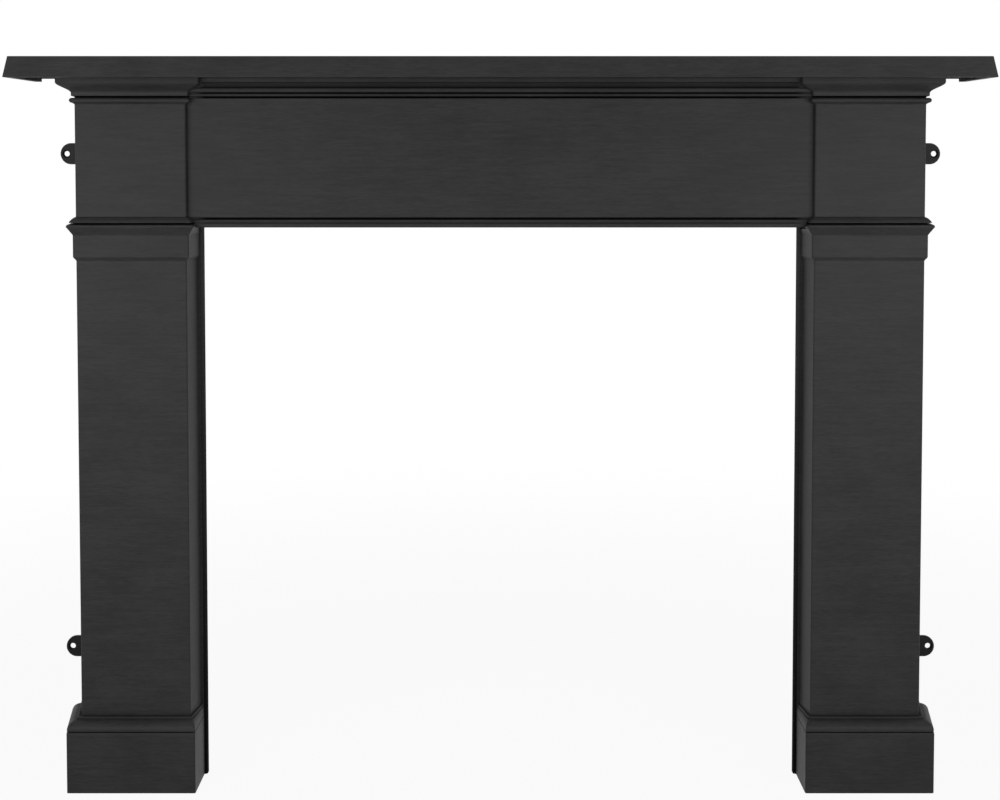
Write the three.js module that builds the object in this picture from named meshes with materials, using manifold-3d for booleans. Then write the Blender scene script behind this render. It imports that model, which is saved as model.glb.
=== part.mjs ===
// A cast iron fireplace surround, modelled as the castings, wall lugs and fasteners it bolts together from.
// Millimetres. X runs along the shelf, Y runs back to the wall and Z runs up from the floor. The origin is on
// the floor, at the middle of the shelf's width and depth. The front faces -Y.
import * as THREE from 'three';
import { mergeVertices } from 'three/addons/utils/BufferGeometryUtils.js';
import Module from 'manifold-3d';

const wasm = await Module();
wasm.setup();

// ---- Driving dimensions -------------------------------------------------------------------------------

// The opening, and the header above it up to the top of the crown moulding
const OPENING_WIDTH = 990;
const OPENING_HEIGHT = 927;
const HEADER_HEIGHT = 245;
const HEADER_SETBACK = 12; // header panel behind the legs' faces

// The legs. Their sides spread towards the wall so that the casting leaves its mould.
const LEG_WIDTH = 180.5;
const LEG_DEPTH = 80;
const LEG_REVEAL = 16.5; // opening's edge to the shaft's inner corner
const OUTER_DRAFT_DEGREES = 8;
const INNER_DRAFT_DEGREES = 6;
const CORNER_RADIUS = 3;

// The shelf
const SHELF_DEPTH = 205;
const SHELF_EDGE_HEIGHT = 33;
const SHELF_EDGE_DROP = 5; // how far the edge hangs below the seat on the legs and the header
const SHELF_OVERHANG = 83; // past the legs' outer faces, at the lower edge
const SHELF_EDGE_LEAN = 6.5; // how far the edge leans in at the top
const SHELF_PLATE = 6;
const SHELF_RIM = 12;
const SHELF_BACK_RIM = 8;
const RIB_WIDTH = 6;
const RIB_PITCH = 140;
const BOSS_RADIUS = 13; // round a tapped hole, here and in the legs

// Iron thicknesses of the legs and the header
const LEG_WALL = 7;
const HEADER_WALL = 6;
const FLANGE = 7;

// The plinth, and how far its block stands out from the shaft on each side
const PLINTH_HEIGHT = 121;
const PLINTH_FRONT = 29;
const PLINTH_OUTER = 19;
const PLINTH_INNER = 11.5;
const PLINTH_LEDGE_SHARE = 0.3; // ledge on top of the ovolo, as a share of the projection
const PLINTH_NOSE_SHARE = 0.97;
const PLINTH_QUIRK_SHARE = 0.92;
const PLINTH_FILLET_HEIGHT = 3.5;
const PLINTH_OVOLO_HEIGHT = 13;
const PLINTH_NOSE_HEIGHT = 2.5;
const PLINTH_QUIRK_HEIGHT = 1.5;
const PLINTH_ARRIS = 3;

// The capital. Heights run down from its top, where the upper block starts.
const CAPITAL_RISE = 18; // top of the capital above the opening
const CAPITAL_NECK_OUT = 9.8;
const CAPITAL_NECK_HEIGHT = 9.6;
const CAPITAL_NECK_BULGE = 1.4;
const CAPITAL_QUIRK_OUT = 6.5;
const CAPITAL_QUIRK_HEIGHT = 3.2;
const CAPITAL_NOSE_OUT = 13.5;
const CAPITAL_NOSE_HEIGHT = 5.6;
const CAPITAL_NOSE_BULGE = 1.5;
const CAPITAL_SLOPE_HEIGHT = 11.4;
const CAPITAL_BAND_OUT = 4.5;
const CAPITAL_BAND_HEIGHT = 36.2;
const CAPITAL_CHAMFER_HEIGHT = 5.7;

// The crown moulding of the legs. Heights run down from its top.
const CROWN_OUT = 25.5;
const CROWN_NOSE_ROUND = 3;
const CROWN_NOSE_HEIGHT = 9;
const CROWN_OGEE_HEIGHT = 17;
const CROWN_LIP_OUT = 4.7;
const CROWN_LIP_HEIGHT = 4.5;
const CROWN_QUIRK_OUT = 1.8;
const CROWN_QUIRK_HEIGHT = 3.2;
const CROWN_BEAD_OUT = 3.5;
const CROWN_BEAD_HEIGHT = 8;
const CROWN_BEAD_BULGE = 3.9;
const CROWN_FOOT_HEIGHT = 2.4;

// The crown moulding of the header. Projections are from the header's panel.
const HEADER_NOSE_OUT = 22;
const HEADER_NOSE_HEIGHT = 8.5;
const HEADER_COVE_OUT = 7.5;
const HEADER_COVE_HEIGHT = 8.6;
const HEADER_COVE_HOLLOW = 4.6;
const HEADER_ROLL_HEIGHT = 7.5;
const HEADER_ROLL_BULGE = 3.4;
const HEADER_QUIRK_OUT = 4;
const HEADER_QUIRK_HEIGHT = 2.2;
const HEADER_BEAD_OUT = 5;
const HEADER_BEAD_HEIGHT = 4;
const HEADER_BEAD_BULGE = 2;
const HEADER_GROOVE_DEPTH = 2.5;
const HEADER_GROOVE_HEIGHT = 3.5;

// The strip along the header's lower edge. Heights run up from the opening.
const STRIP_FILLET_OUT = 0.5;
const STRIP_FILLET_HEIGHT = 5.8;
const STRIP_ROUND = 1.6;
const STRIP_HOLLOW_DEPTH = 1.4;
const STRIP_HOLLOW_HEIGHT = 2.6;
const STRIP_BEAD_DEPTH = 0.8;
const STRIP_BEAD_HEIGHT = 4.6;
const STRIP_BEAD_BULGE = 2;
const STRIP_GROOVE_DEPTH = 4;
const STRIP_GROOVE_HEIGHT = 3.6;

// The slip bead that runs up both sides of the opening, at the back of the legs
const SLIP_RADIUS = 4.8;
const SLIP_DEPTH = 14.8;
const SLIP_COVER = 5; // part of the slip that the capital and the plinth leave bare

// Wall lugs
const LUG_HEIGHT = 35.4;
const LUG_THICKNESS = 5;
const LUG_REACH = 41; // tip past the legs' outer faces
const LUG_TAIL = 28; // inner end inside the legs' outer faces
const LUG_HOLE_RADIUS = 4.5;
const LUG_COUNTERSINK_RADIUS = 7;
const LUG_COUNTERSINK_DEPTH = 2.5;
const LUG_HOLE_FROM_TIP = 10.3;
const LUG_SCREW_INSET = 12; // set screw inside the legs' outer faces
const LUG_LOWER_Z = 216.5;
const LUG_UPPER_DROP = 124.5; // upper lugs below the top of the crown
const LUG_PAD_THICKNESS = 8;
const LUG_PAD_HEIGHT = 40;
const LUG_PAD_REACH = 30;

// Fasteners: hexagon heads are given across the flats
const M10 = { shank: 5, across: 16, head: 6.4, washerRadius: 10, washer: 2 };
const M8 = { shank: 4, across: 13, head: 5.3, washerRadius: 8, washer: 1.6 };
const SHELF_BOLT_GRIP = 13; // thread inside the shelf's boss
const SHELF_HOLE_DEPTH = 17;
const SHELF_BOLT_FROM_WALL = 45;
const HEADER_SHELF_BOLT_X = 2 * RIB_PITCH;
const LEG_SHELF_BOLT_INSET = 17; // inside the legs' outer faces
const HEADER_BOLT_GRIP = 15; // thread inside the leg's wall and the boss behind it
const HEADER_HOLE_DEPTH = 17;
const HEADER_BOSS_HEIGHT = 12;
const HEADER_BOLT_FROM_WALL = 38;
const HEADER_BOLT_ABOVE_BLOCK_FOOT = 46;
const HEADER_BOLT_BELOW_BLOCK_TOP = 40;
const END_PLATE_FROM_WALL = 14;

// Clearances
const JOINT_GAP = 0.3; // between two castings, and between stacked fasteners
const HOLE_CLEARANCE = 0.3; // round a shank
const CUT_OVER = 10; // how far a cutting body runs past the iron that it cuts

// Steps of the curves
const CURVE_STEPS = 5;
const OGEE_STEPS = 8;
const CORNER_STEPS = 3;
const ROUND_SIDES = 24;
const FASTENER_SIDES = 16;

// ---- Places worked out from them ----------------------------------------------------------------------

const BACK_Y = SHELF_DEPTH / 2;
const FACE_Y = BACK_Y - LEG_DEPTH;
const HEADER_FACE_Y = FACE_Y + HEADER_SETBACK;
const OPENING_HALF = OPENING_WIDTH / 2;
const LEG_INNER_X = OPENING_HALF + LEG_REVEAL;
const LEG_OUTER_X = LEG_INNER_X + LEG_WIDTH;
const HEADER_END_X = LEG_INNER_X - JOINT_GAP;
const CROWN_TOP_Z = OPENING_HEIGHT + HEADER_HEIGHT;
const CAPITAL_TOP_Z = OPENING_HEIGHT + CAPITAL_RISE;
const SHELF_FOOT_Z = CROWN_TOP_Z - SHELF_EDGE_DROP;
const SHELF_TOP_Z = SHELF_FOOT_Z + SHELF_EDGE_HEIGHT;
const SHELF_HALF = LEG_OUTER_X + SHELF_OVERHANG;
const LEG_SHELF_BOLT_X = LEG_OUTER_X - LEG_SHELF_BOLT_INSET;
const LUG_UPPER_Z = CROWN_TOP_Z - LUG_UPPER_DROP;
const OUTER_SLOPE = Math.tan(THREE.MathUtils.degToRad(OUTER_DRAFT_DEGREES));
const INNER_SLOPE = Math.tan(THREE.MathUtils.degToRad(INNER_DRAFT_DEGREES));
const CROWN_HEIGHT = CROWN_NOSE_HEIGHT + CROWN_OGEE_HEIGHT + CROWN_LIP_HEIGHT + CROWN_QUIRK_HEIGHT
  + CROWN_BEAD_HEIGHT + CROWN_FOOT_HEIGHT;
const BLOCK_TOP_Z = CROWN_TOP_Z - CROWN_HEIGHT;
const SHELF_BOLT_Y = BACK_Y - SHELF_BOLT_FROM_WALL;
const HEADER_BOLT_Y = BACK_Y - HEADER_BOLT_FROM_WALL;
const HEADER_BOLT_ZS = {
  lower: CAPITAL_TOP_Z + HEADER_BOLT_ABOVE_BLOCK_FOOT,
  upper: BLOCK_TOP_Z - HEADER_BOLT_BELOW_BLOCK_TOP,
};
const LUG_ZS = { lower: LUG_LOWER_Z, upper: LUG_UPPER_Z };
const UP = new THREE.Vector3(0, 0, 1);
const BACK = new THREE.Vector3(0, 1, 0);
const RIGHT = new THREE.Vector3(1, 0, 0);

// ---- Materials ----------------------------------------------------------------------------------------

const CASTING = () => new THREE.MeshStandardMaterial({ color: 0x353535, roughness: 0.55, metalness: 0.2 });
const LUG_PAINT = () => new THREE.MeshStandardMaterial({ color: 0x242424, roughness: 0.5, metalness: 0.2 });
const ZINC = () => new THREE.MeshStandardMaterial({ color: 0x9a9c9e, roughness: 0.4, metalness: 0.9 });

// ---- Solids -------------------------------------------------------------------------------------------

// A closed three.js geometry as a solid that can be joined and cut
function solidOf(geometry) {
  const bare = geometry.clone();
  bare.deleteAttribute('normal');
  bare.deleteAttribute('uv');
  const welded = mergeVertices(bare);
  const vertProperties = Float32Array.from(welded.attributes.position.array);
  const triVerts = Uint32Array.from(welded.index.array);
  return new wasm.Manifold(new wasm.Mesh({ numProp: 3, vertProperties, triVerts }));
}

function geometryOf(solid) {
  const mesh = solid.getMesh();
  const geometry = new THREE.BufferGeometry();
  geometry.setAttribute('position', new THREE.BufferAttribute(mesh.vertProperties, 3));
  geometry.setIndex(new THREE.BufferAttribute(mesh.triVerts, 1));
  geometry.computeVertexNormals();
  return geometry;
}

function joined(solids) {
  return solids.reduce((whole, solid) => whole.add(solid));
}

// A box between two opposite corners
function box(low, high) {
  const size = high.map((value, axis) => value - low[axis]);
  const middle = high.map((value, axis) => (value + low[axis]) / 2);
  return solidOf(new THREE.BoxGeometry(...size).translate(...middle));
}

// A round bar that starts at a point and runs along a direction
function bar(radius, length, start, direction, sides = ROUND_SIDES) {
  const geometry = new THREE.CylinderGeometry(radius, radius, length, sides);
  geometry.rotateX(Math.PI / 2).translate(0, 0, length / 2);
  geometry.applyQuaternion(new THREE.Quaternion().setFromUnitVectors(UP, direction));
  return solidOf(geometry.translate(...start));
}

// A closed solid through level rings of points, listed from the lowest up and counter-clockwise from above
function loft(rings) {
  const count = rings[0].length;
  const top = (rings.length - 1) * count;
  const triangles = [];
  for (let start = 0; start < top; start += count) {
    for (let j = 0; j < count; j += 1) {
      const next = (j + 1) % count;
      triangles.push(start + j, start + next, start + count + next);
      triangles.push(start + j, start + count + next, start + count + j);
    }
  }
  for (let j = 1; j < count - 1; j += 1) {
    triangles.push(0, j + 1, j);
    triangles.push(top, top + j, top + j + 1);
  }
  const geometry = new THREE.BufferGeometry();
  geometry.setAttribute('position', new THREE.Float32BufferAttribute(rings.flat(2), 3));
  geometry.setIndex(triangles);
  return solidOf(geometry);
}

// The same shape on the other side of the object
function mirrored(geometry) {
  const copy = geometry.clone().scale(-1, 1, 1);
  const index = copy.index.array;
  for (let i = 0; i < index.length; i += 3) {
    const first = index[i];
    index[i] = index[i + 1];
    index[i + 1] = first;
  }
  copy.computeVertexNormals();
  return copy;
}

// ---- Moulding profiles --------------------------------------------------------------------------------
// A profile is a list of [out, z] points from the bottom up: how far the iron stands out, and how high.

// Points after `from` up to `to` along a circular arc that bulges outwards by `bulge`, or inwards if negative
function arc(from, to, bulge) {
  const start = new THREE.Vector2(...from);
  const chord = new THREE.Vector2(...to).sub(start);
  const outward = new THREE.Vector2(chord.y, -chord.x).normalize();
  const half = chord.length() / 2;
  const radius = (half * half + bulge * bulge) / (2 * bulge);
  const swing = Math.asin(half / radius);
  const points = [];
  for (let k = 1; k <= CURVE_STEPS; k += 1) {
    const angle = swing * ((2 * k) / CURVE_STEPS - 1);
    const along = (Math.sin(angle) * radius + half) / (2 * half);
    const off = Math.cos(angle) * radius - (radius - bulge);
    const point = start.clone().addScaledVector(chord, along).addScaledVector(outward, off);
    points.push([point.x, point.y]);
  }
  return points;
}

// The legs' crown, from the upper block to the shelf: foot, bead, quirk, lip, ogee and nose
function crownProfile() {
  const lipTop = CROWN_TOP_Z - CROWN_NOSE_HEIGHT - CROWN_OGEE_HEIGHT;
  const lipFoot = lipTop - CROWN_LIP_HEIGHT;
  const beadTop = lipFoot - CROWN_QUIRK_HEIGHT;
  const beadFoot = beadTop - CROWN_BEAD_HEIGHT;
  const ogee = [];
  for (let k = 1; k <= OGEE_STEPS; k += 1) {
    const share = k / OGEE_STEPS;
    const wave = (1 - Math.cos(Math.PI * share)) / 2;
    ogee.push([CROWN_LIP_OUT + (CROWN_OUT - CROWN_LIP_OUT) * wave, lipTop + CROWN_OGEE_HEIGHT * share]);
  }
  return [
    [0, BLOCK_TOP_Z],
    [CROWN_BEAD_OUT, beadFoot],
    ...arc([CROWN_BEAD_OUT, beadFoot], [CROWN_BEAD_OUT, beadTop], CROWN_BEAD_BULGE),
    [CROWN_QUIRK_OUT, beadTop],
    [CROWN_QUIRK_OUT, lipFoot],
    [CROWN_LIP_OUT, lipFoot],
    [CROWN_LIP_OUT, lipTop],
    ...ogee,
    [CROWN_OUT, CROWN_TOP_Z - CROWN_NOSE_ROUND],
    [CROWN_OUT - CROWN_NOSE_ROUND, CROWN_TOP_Z],
  ];
}

// The capital, from the shaft to the upper block: chamfer, band, slope, nose, quirk and neck
function capitalProfile() {
  const neckFoot = CAPITAL_TOP_Z - CAPITAL_NECK_HEIGHT;
  const noseTop = neckFoot - CAPITAL_QUIRK_HEIGHT;
  const noseFoot = noseTop - CAPITAL_NOSE_HEIGHT;
  const noseEdge = CAPITAL_NOSE_OUT - CAPITAL_NOSE_BULGE;
  const bandTop = noseFoot - CAPITAL_SLOPE_HEIGHT;
  const bandFoot = bandTop - CAPITAL_BAND_HEIGHT;
  return [
    [0, bandFoot - CAPITAL_CHAMFER_HEIGHT],
    [CAPITAL_BAND_OUT, bandFoot],
    [CAPITAL_BAND_OUT, bandTop],
    [noseEdge, noseFoot],
    ...arc([noseEdge, noseFoot], [noseEdge, noseTop], CAPITAL_NOSE_BULGE),
    [CAPITAL_QUIRK_OUT, noseTop],
    [CAPITAL_QUIRK_OUT, neckFoot],
    [CAPITAL_NECK_OUT, neckFoot],
    ...arc([CAPITAL_NECK_OUT, neckFoot], [0, CAPITAL_TOP_Z], CAPITAL_NECK_BULGE),
  ];
}

// The plinth, from the floor to the shaft: block, arris, quirk, nose, ovolo, fillet and ledge. Here `out` is a
// share of the block's own projection, which differs from side to side.
function plinthProfile() {
  const filletFoot = PLINTH_HEIGHT - PLINTH_FILLET_HEIGHT;
  const ovoloFoot = filletFoot - PLINTH_OVOLO_HEIGHT;
  const noseFoot = ovoloFoot - PLINTH_NOSE_HEIGHT;
  const blockTop = noseFoot - PLINTH_QUIRK_HEIGHT;
  const ovolo = [];
  for (let k = 1; k <= CURVE_STEPS; k += 1) {
    const angle = (Math.PI / 2) * (k / CURVE_STEPS);
    const out = PLINTH_LEDGE_SHARE + (PLINTH_NOSE_SHARE - PLINTH_LEDGE_SHARE) * Math.cos(angle);
    ovolo.push([out, ovoloFoot + PLINTH_OVOLO_HEIGHT * Math.sin(angle)]);
  }
  return [
    [1, 0],
    [1, blockTop - PLINTH_ARRIS],
    [1 - PLINTH_ARRIS / PLINTH_FRONT / 3, blockTop - PLINTH_ARRIS / 3],
    [1 - PLINTH_ARRIS / PLINTH_FRONT, blockTop],
    [PLINTH_QUIRK_SHARE - PLINTH_ARRIS / PLINTH_FRONT, blockTop],
    [PLINTH_QUIRK_SHARE - PLINTH_ARRIS / PLINTH_FRONT, noseFoot],
    [PLINTH_NOSE_SHARE, noseFoot],
    [PLINTH_NOSE_SHARE, ovoloFoot],
    ...ovolo,
    [PLINTH_LEDGE_SHARE, PLINTH_HEIGHT],
    [0, PLINTH_HEIGHT],
  ];
}

// The header's front, from the opening to the shelf: strip, groove, panel, groove, bead, roll, cove and nose
function headerProfile() {
  const filletTop = OPENING_HEIGHT + STRIP_FILLET_HEIGHT;
  const hollowTop = filletTop + STRIP_HOLLOW_HEIGHT;
  const stripBeadTop = hollowTop + STRIP_BEAD_HEIGHT;
  const panelFoot = stripBeadTop + STRIP_GROOVE_HEIGHT;
  const coveTop = CROWN_TOP_Z - HEADER_NOSE_HEIGHT;
  const coveFoot = coveTop - HEADER_COVE_HEIGHT;
  const rollFoot = coveFoot - HEADER_ROLL_HEIGHT;
  const beadTop = rollFoot - HEADER_QUIRK_HEIGHT;
  const beadFoot = beadTop - HEADER_BEAD_HEIGHT;
  const panelTop = beadFoot - HEADER_GROOVE_HEIGHT;
  return [
    [STRIP_FILLET_OUT - STRIP_ROUND, OPENING_HEIGHT],
    [STRIP_FILLET_OUT, OPENING_HEIGHT + STRIP_ROUND],
    [STRIP_FILLET_OUT, filletTop],
    [-STRIP_HOLLOW_DEPTH, filletTop],
    [-STRIP_HOLLOW_DEPTH, hollowTop],
    [-STRIP_BEAD_DEPTH, hollowTop],
    ...arc([-STRIP_BEAD_DEPTH, hollowTop], [-STRIP_BEAD_DEPTH, stripBeadTop], STRIP_BEAD_BULGE),
    [-STRIP_GROOVE_DEPTH, stripBeadTop],
    [-STRIP_GROOVE_DEPTH, panelFoot],
    [0, panelFoot],
    [0, panelTop],
    [-HEADER_GROOVE_DEPTH, panelTop],
    [-HEADER_GROOVE_DEPTH, beadFoot],
    [HEADER_BEAD_OUT, beadFoot],
    ...arc([HEADER_BEAD_OUT, beadFoot], [HEADER_BEAD_OUT, beadTop], HEADER_BEAD_BULGE),
    [HEADER_QUIRK_OUT, beadTop],
    [HEADER_QUIRK_OUT, rollFoot],
    [HEADER_COVE_OUT, rollFoot],
    ...arc([HEADER_COVE_OUT, rollFoot], [HEADER_COVE_OUT, coveFoot], HEADER_ROLL_BULGE),
    ...arc([HEADER_COVE_OUT, coveFoot], [HEADER_NOSE_OUT, coveTop], -HEADER_COVE_HOLLOW),
    [HEADER_NOSE_OUT, CROWN_TOP_Z - CROWN_NOSE_ROUND],
    [HEADER_NOSE_OUT - CROWN_NOSE_ROUND, CROWN_TOP_Z],
  ];
}

// ---- Legs ---------------------------------------------------------------------------------------------

// The whole leg's outline as stations: how far its front, outer and inner sides stand out at each height
function legStations() {
  const plinth = plinthProfile().map(([share, z]) => ({
    z,
    front: share * PLINTH_FRONT,
    outer: share * PLINTH_OUTER,
    inner: share * PLINTH_INNER,
  }));
  const even = ([out, z]) => ({ z, front: out, outer: out, inner: out });
  return [...plinth, ...capitalProfile().map(even), ...crownProfile().map(even)];
}

// The same outline without its ledges and quirks, for what fits against the leg from outside
function legEnvelope() {
  const stations = legStations();
  return stations.filter((station, i) => {
    const neighbours = [stations[i - 1], stations[i + 1]].filter(Boolean);
    return !neighbours.some((other) => other.z === station.z && other.inner > station.inner);
  });
}

// One level outline of the right leg, grown outwards on its three sides. Below the top of the opening the
// inner side spreads towards the wall, no further than the slip. Above it the side is square, for the joint.
function legRing(station, grow, backY) {
  const frontY = FACE_Y - station.front - grow;
  const outerX = LEG_OUTER_X + station.outer + grow;
  const innerX = LEG_INNER_X - station.inner - grow;
  const depth = backY - frontY;
  const slipX = OPENING_HALF + SLIP_COVER - grow;
  const spread = station.z < OPENING_HEIGHT ? INNER_SLOPE * depth : 0;
  const innerBackX = Math.min(innerX, Math.max(slipX, innerX - spread));
  const ring = [[innerBackX, backY, station.z]];
  for (let k = 0; k <= CORNER_STEPS; k += 1) {
    const angle = Math.PI + (Math.PI / 2) * (k / CORNER_STEPS);
    const x = innerX + CORNER_RADIUS * (1 + Math.cos(angle));
    ring.push([x, frontY + CORNER_RADIUS * (1 + Math.sin(angle)), station.z]);
  }
  for (let k = 0; k <= CORNER_STEPS; k += 1) {
    const angle = (Math.PI / 2) * (k / CORNER_STEPS - 1);
    const x = outerX + CORNER_RADIUS * (Math.cos(angle) - 1);
    ring.push([x, frontY + CORNER_RADIUS * (1 + Math.sin(angle)), station.z]);
  }
  ring.push([outerX + depth * OUTER_SLOPE, backY, station.z]);
  return ring;
}

// The hollow behind the right leg: open at the back and the floor, closed at the top by the shelf's flange
function legHollow() {
  const inside = (z, front, outer, inner) => ({ z, front, outer, inner });
  const flangeFoot = CROWN_TOP_Z - FLANGE;
  const crownThroat = CROWN_TOP_Z - CROWN_HEIGHT / 2;
  const crownHollow = CROWN_OUT / 2;
  const ledgeFoot = PLINTH_HEIGHT - LEG_WALL;
  const blockFoot = ledgeFoot - PLINTH_OVOLO_HEIGHT;
  return loft([
    inside(-CUT_OVER, PLINTH_FRONT, PLINTH_OUTER, PLINTH_INNER),
    inside(blockFoot, PLINTH_FRONT, PLINTH_OUTER, PLINTH_INNER),
    inside(ledgeFoot, 0, 0, 0),
    inside(OPENING_HEIGHT - LEG_WALL, 0, 0, 0),
    inside(OPENING_HEIGHT, 0, 0, 0),
    inside(crownThroat, 0, 0, 0),
    inside(flangeFoot, crownHollow, crownHollow, 0),
  ].map((station) => legRing(station, -LEG_WALL, BACK_Y + CUT_OVER)));
}

// The bead and flange beside the opening, drawn in plan
function slip() {
  const top = OPENING_HEIGHT - JOINT_GAP;
  const noseY = BACK_Y - SLIP_DEPTH + SLIP_RADIUS;
  const shape = new THREE.Shape();
  shape.moveTo(OPENING_HALF, BACK_Y);
  shape.lineTo(OPENING_HALF, noseY);
  shape.absarc(OPENING_HALF + SLIP_RADIUS, noseY, SLIP_RADIUS, Math.PI, 2 * Math.PI, false);
  shape.lineTo(LEG_INNER_X, noseY);
  shape.lineTo(LEG_INNER_X, BACK_Y);
  return solidOf(new THREE.ExtrudeGeometry(shape, {
    depth: top,
    bevelEnabled: false,
    curveSegments: 2 * CURVE_STEPS,
  }));
}

// A pad inside the outer wall that a wall lug is screwed against
function lugPad(z) {
  const front = BACK_Y - LUG_THICKNESS - JOINT_GAP - LUG_PAD_THICKNESS;
  const wallInside = LEG_OUTER_X + LEG_DEPTH * OUTER_SLOPE - LEG_WALL;
  return box(
    [LEG_OUTER_X - LUG_PAD_REACH, front, z - LUG_PAD_HEIGHT / 2],
    [wallInside + LEG_WALL / 2, front + LUG_PAD_THICKNESS, z + LUG_PAD_HEIGHT / 2],
  );
}

// The notch in the outer wall that a wall lug leaves through
function lugNotch(z) {
  const half = LUG_HEIGHT / 2 + JOINT_GAP;
  return box(
    [LEG_OUTER_X - LUG_PAD_REACH, BACK_Y - LUG_THICKNESS - JOINT_GAP, z - half],
    [LEG_OUTER_X + LUG_REACH, BACK_Y + CUT_OVER, z + half],
  );
}

// A boss inside the inner wall that a header bolt is screwed into
function headerBoss(z) {
  const height = LEG_WALL / 2 + HEADER_BOSS_HEIGHT;
  return bar(BOSS_RADIUS, height, [LEG_INNER_X + LEG_WALL / 2, HEADER_BOLT_Y, z], RIGHT);
}

function rightLegGeometry() {
  const outline = loft(legStations().map((station) => legRing(station, 0, BACK_Y)));
  const lugZs = Object.values(LUG_ZS);
  const headerBoltZs = Object.values(HEADER_BOLT_ZS);
  const body = joined([
    outline.subtract(legHollow()),
    slip(),
    ...lugZs.map(lugPad),
    ...headerBoltZs.map(headerBoss),
  ]);
  const holes = [
    bar(
      M10.shank + HOLE_CLEARANCE,
      FLANGE + 2 * CUT_OVER,
      [LEG_SHELF_BOLT_X, SHELF_BOLT_Y, CROWN_TOP_Z - FLANGE - CUT_OVER],
      UP,
    ),
    ...headerBoltZs.map((z) => bar(
      M10.shank + HOLE_CLEARANCE,
      HEADER_HOLE_DEPTH + CUT_OVER,
      [LEG_INNER_X - CUT_OVER, HEADER_BOLT_Y, z],
      RIGHT,
    )),
    ...lugZs.map((z) => bar(
      M8.shank + HOLE_CLEARANCE,
      LUG_PAD_THICKNESS + 2 * CUT_OVER,
      [LEG_OUTER_X - LUG_SCREW_INSET, BACK_Y - LUG_THICKNESS - LUG_PAD_THICKNESS - CUT_OVER, z],
      BACK,
    )),
  ];
  return geometryOf(body.subtract(joined([...holes, ...lugZs.map(lugNotch)])));
}

// ---- Header -------------------------------------------------------------------------------------------

// The header's section, from its front moulding round the open channel behind the panel
function headerSection() {
  const front = headerProfile().map(([out, z]) => [HEADER_FACE_Y - out, z]);
  const insideY = HEADER_FACE_Y + HEADER_WALL;
  const soffitTop = OPENING_HEIGHT + FLANGE;
  const flangeFoot = CROWN_TOP_Z - FLANGE;
  const throat = flangeFoot - HEADER_COVE_HEIGHT - HEADER_ROLL_HEIGHT;
  const points = [
    ...front,
    [BACK_Y, CROWN_TOP_Z],
    [BACK_Y, flangeFoot],
    [HEADER_FACE_Y - HEADER_NOSE_OUT / 2, flangeFoot],
    [insideY, throat],
    [insideY, soffitTop],
    [BACK_Y, soffitTop],
    [BACK_Y, OPENING_HEIGHT],
  ];
  return new THREE.Shape(points.map(([y, z]) => new THREE.Vector2(y, z)));
}

// A plate at one end of the header that is bolted against a leg
function endPlate(side) {
  const outer = side * HEADER_END_X;
  const inner = side * (HEADER_END_X - FLANGE);
  return box(
    [Math.min(outer, inner), HEADER_FACE_Y + HEADER_WALL / 2, CAPITAL_TOP_Z + JOINT_GAP],
    [Math.max(outer, inner), BACK_Y - END_PLATE_FROM_WALL, BLOCK_TOP_Z - JOINT_GAP],
  );
}

function headerGeometry() {
  const length = 2 * HEADER_END_X;
  const channel = new THREE.ExtrudeGeometry(headerSection(), { depth: length, bevelEnabled: false });
  const alongX = new THREE.Matrix4().makeBasis(BACK, UP, RIGHT);
  channel.applyMatrix4(alongX).translate(-HEADER_END_X, 0, 0);
  const whole = joined([solidOf(channel), endPlate(-1), endPlate(1)]);
  const legBody = loft(legEnvelope().map((station) => legRing(station, JOINT_GAP, BACK_Y + CUT_OVER)));
  const otherLegBody = solidOf(mirrored(geometryOf(legBody)));
  const holes = [-1, 1].flatMap((side) => [
    bar(
      M10.shank + HOLE_CLEARANCE,
      FLANGE + 2 * CUT_OVER,
      [side * HEADER_SHELF_BOLT_X, SHELF_BOLT_Y, CROWN_TOP_Z - FLANGE - CUT_OVER],
      UP,
    ),
    ...Object.values(HEADER_BOLT_ZS).map((z) => bar(
      M10.shank + HOLE_CLEARANCE,
      FLANGE + 2 * CUT_OVER,
      [side * (HEADER_END_X - FLANGE - CUT_OVER), HEADER_BOLT_Y, z],
      RIGHT.clone().multiplyScalar(side),
    )),
  ]);
  return geometryOf(whole.subtract(joined([legBody, otherLegBody, ...holes])));
}

// ---- Shelf --------------------------------------------------------------------------------------------

// The shelf's outside: level rectangles with an edge that leans in, square at the wall
function shelfSlab() {
  const ring = (z, lean) => {
    const x = SHELF_HALF - lean;
    const frontY = -BACK_Y + lean;
    return [[-x, frontY, z], [x, frontY, z], [x, BACK_Y, z], [-x, BACK_Y, z]];
  };
  return loft([ring(SHELF_FOOT_Z, 0), ring(SHELF_TOP_Z, SHELF_EDGE_LEAN)]);
}

// The tray that the legs and the header stand in, open at the wall, and the cells between the ribs above it: one
// row on each side of the rib that carries the bolts
function shelfCells() {
  const ceiling = SHELF_TOP_Z - SHELF_PLATE;
  const floor = CROWN_TOP_Z - CUT_OVER;
  const endX = SHELF_HALF - SHELF_RIM;
  const ribCount = Math.floor((endX - RIB_WIDTH) / RIB_PITCH);
  const rows = [
    [-BACK_Y + SHELF_RIM, SHELF_BOLT_Y - RIB_WIDTH / 2],
    [SHELF_BOLT_Y + RIB_WIDTH / 2, BACK_Y - SHELF_BACK_RIM],
  ];
  const cells = [box([-endX, -BACK_Y + SHELF_RIM, floor], [endX, BACK_Y + CUT_OVER, CROWN_TOP_Z])];
  for (let k = -ribCount; k <= ribCount + 1; k += 1) {
    const left = k === -ribCount ? -endX : (k - 1) * RIB_PITCH + RIB_WIDTH / 2;
    const right = k === ribCount + 1 ? endX : k * RIB_PITCH - RIB_WIDTH / 2;
    rows.forEach(([near, far]) => cells.push(box([left, near, floor], [right, far, ceiling])));
  }
  return joined(cells);
}

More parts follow.
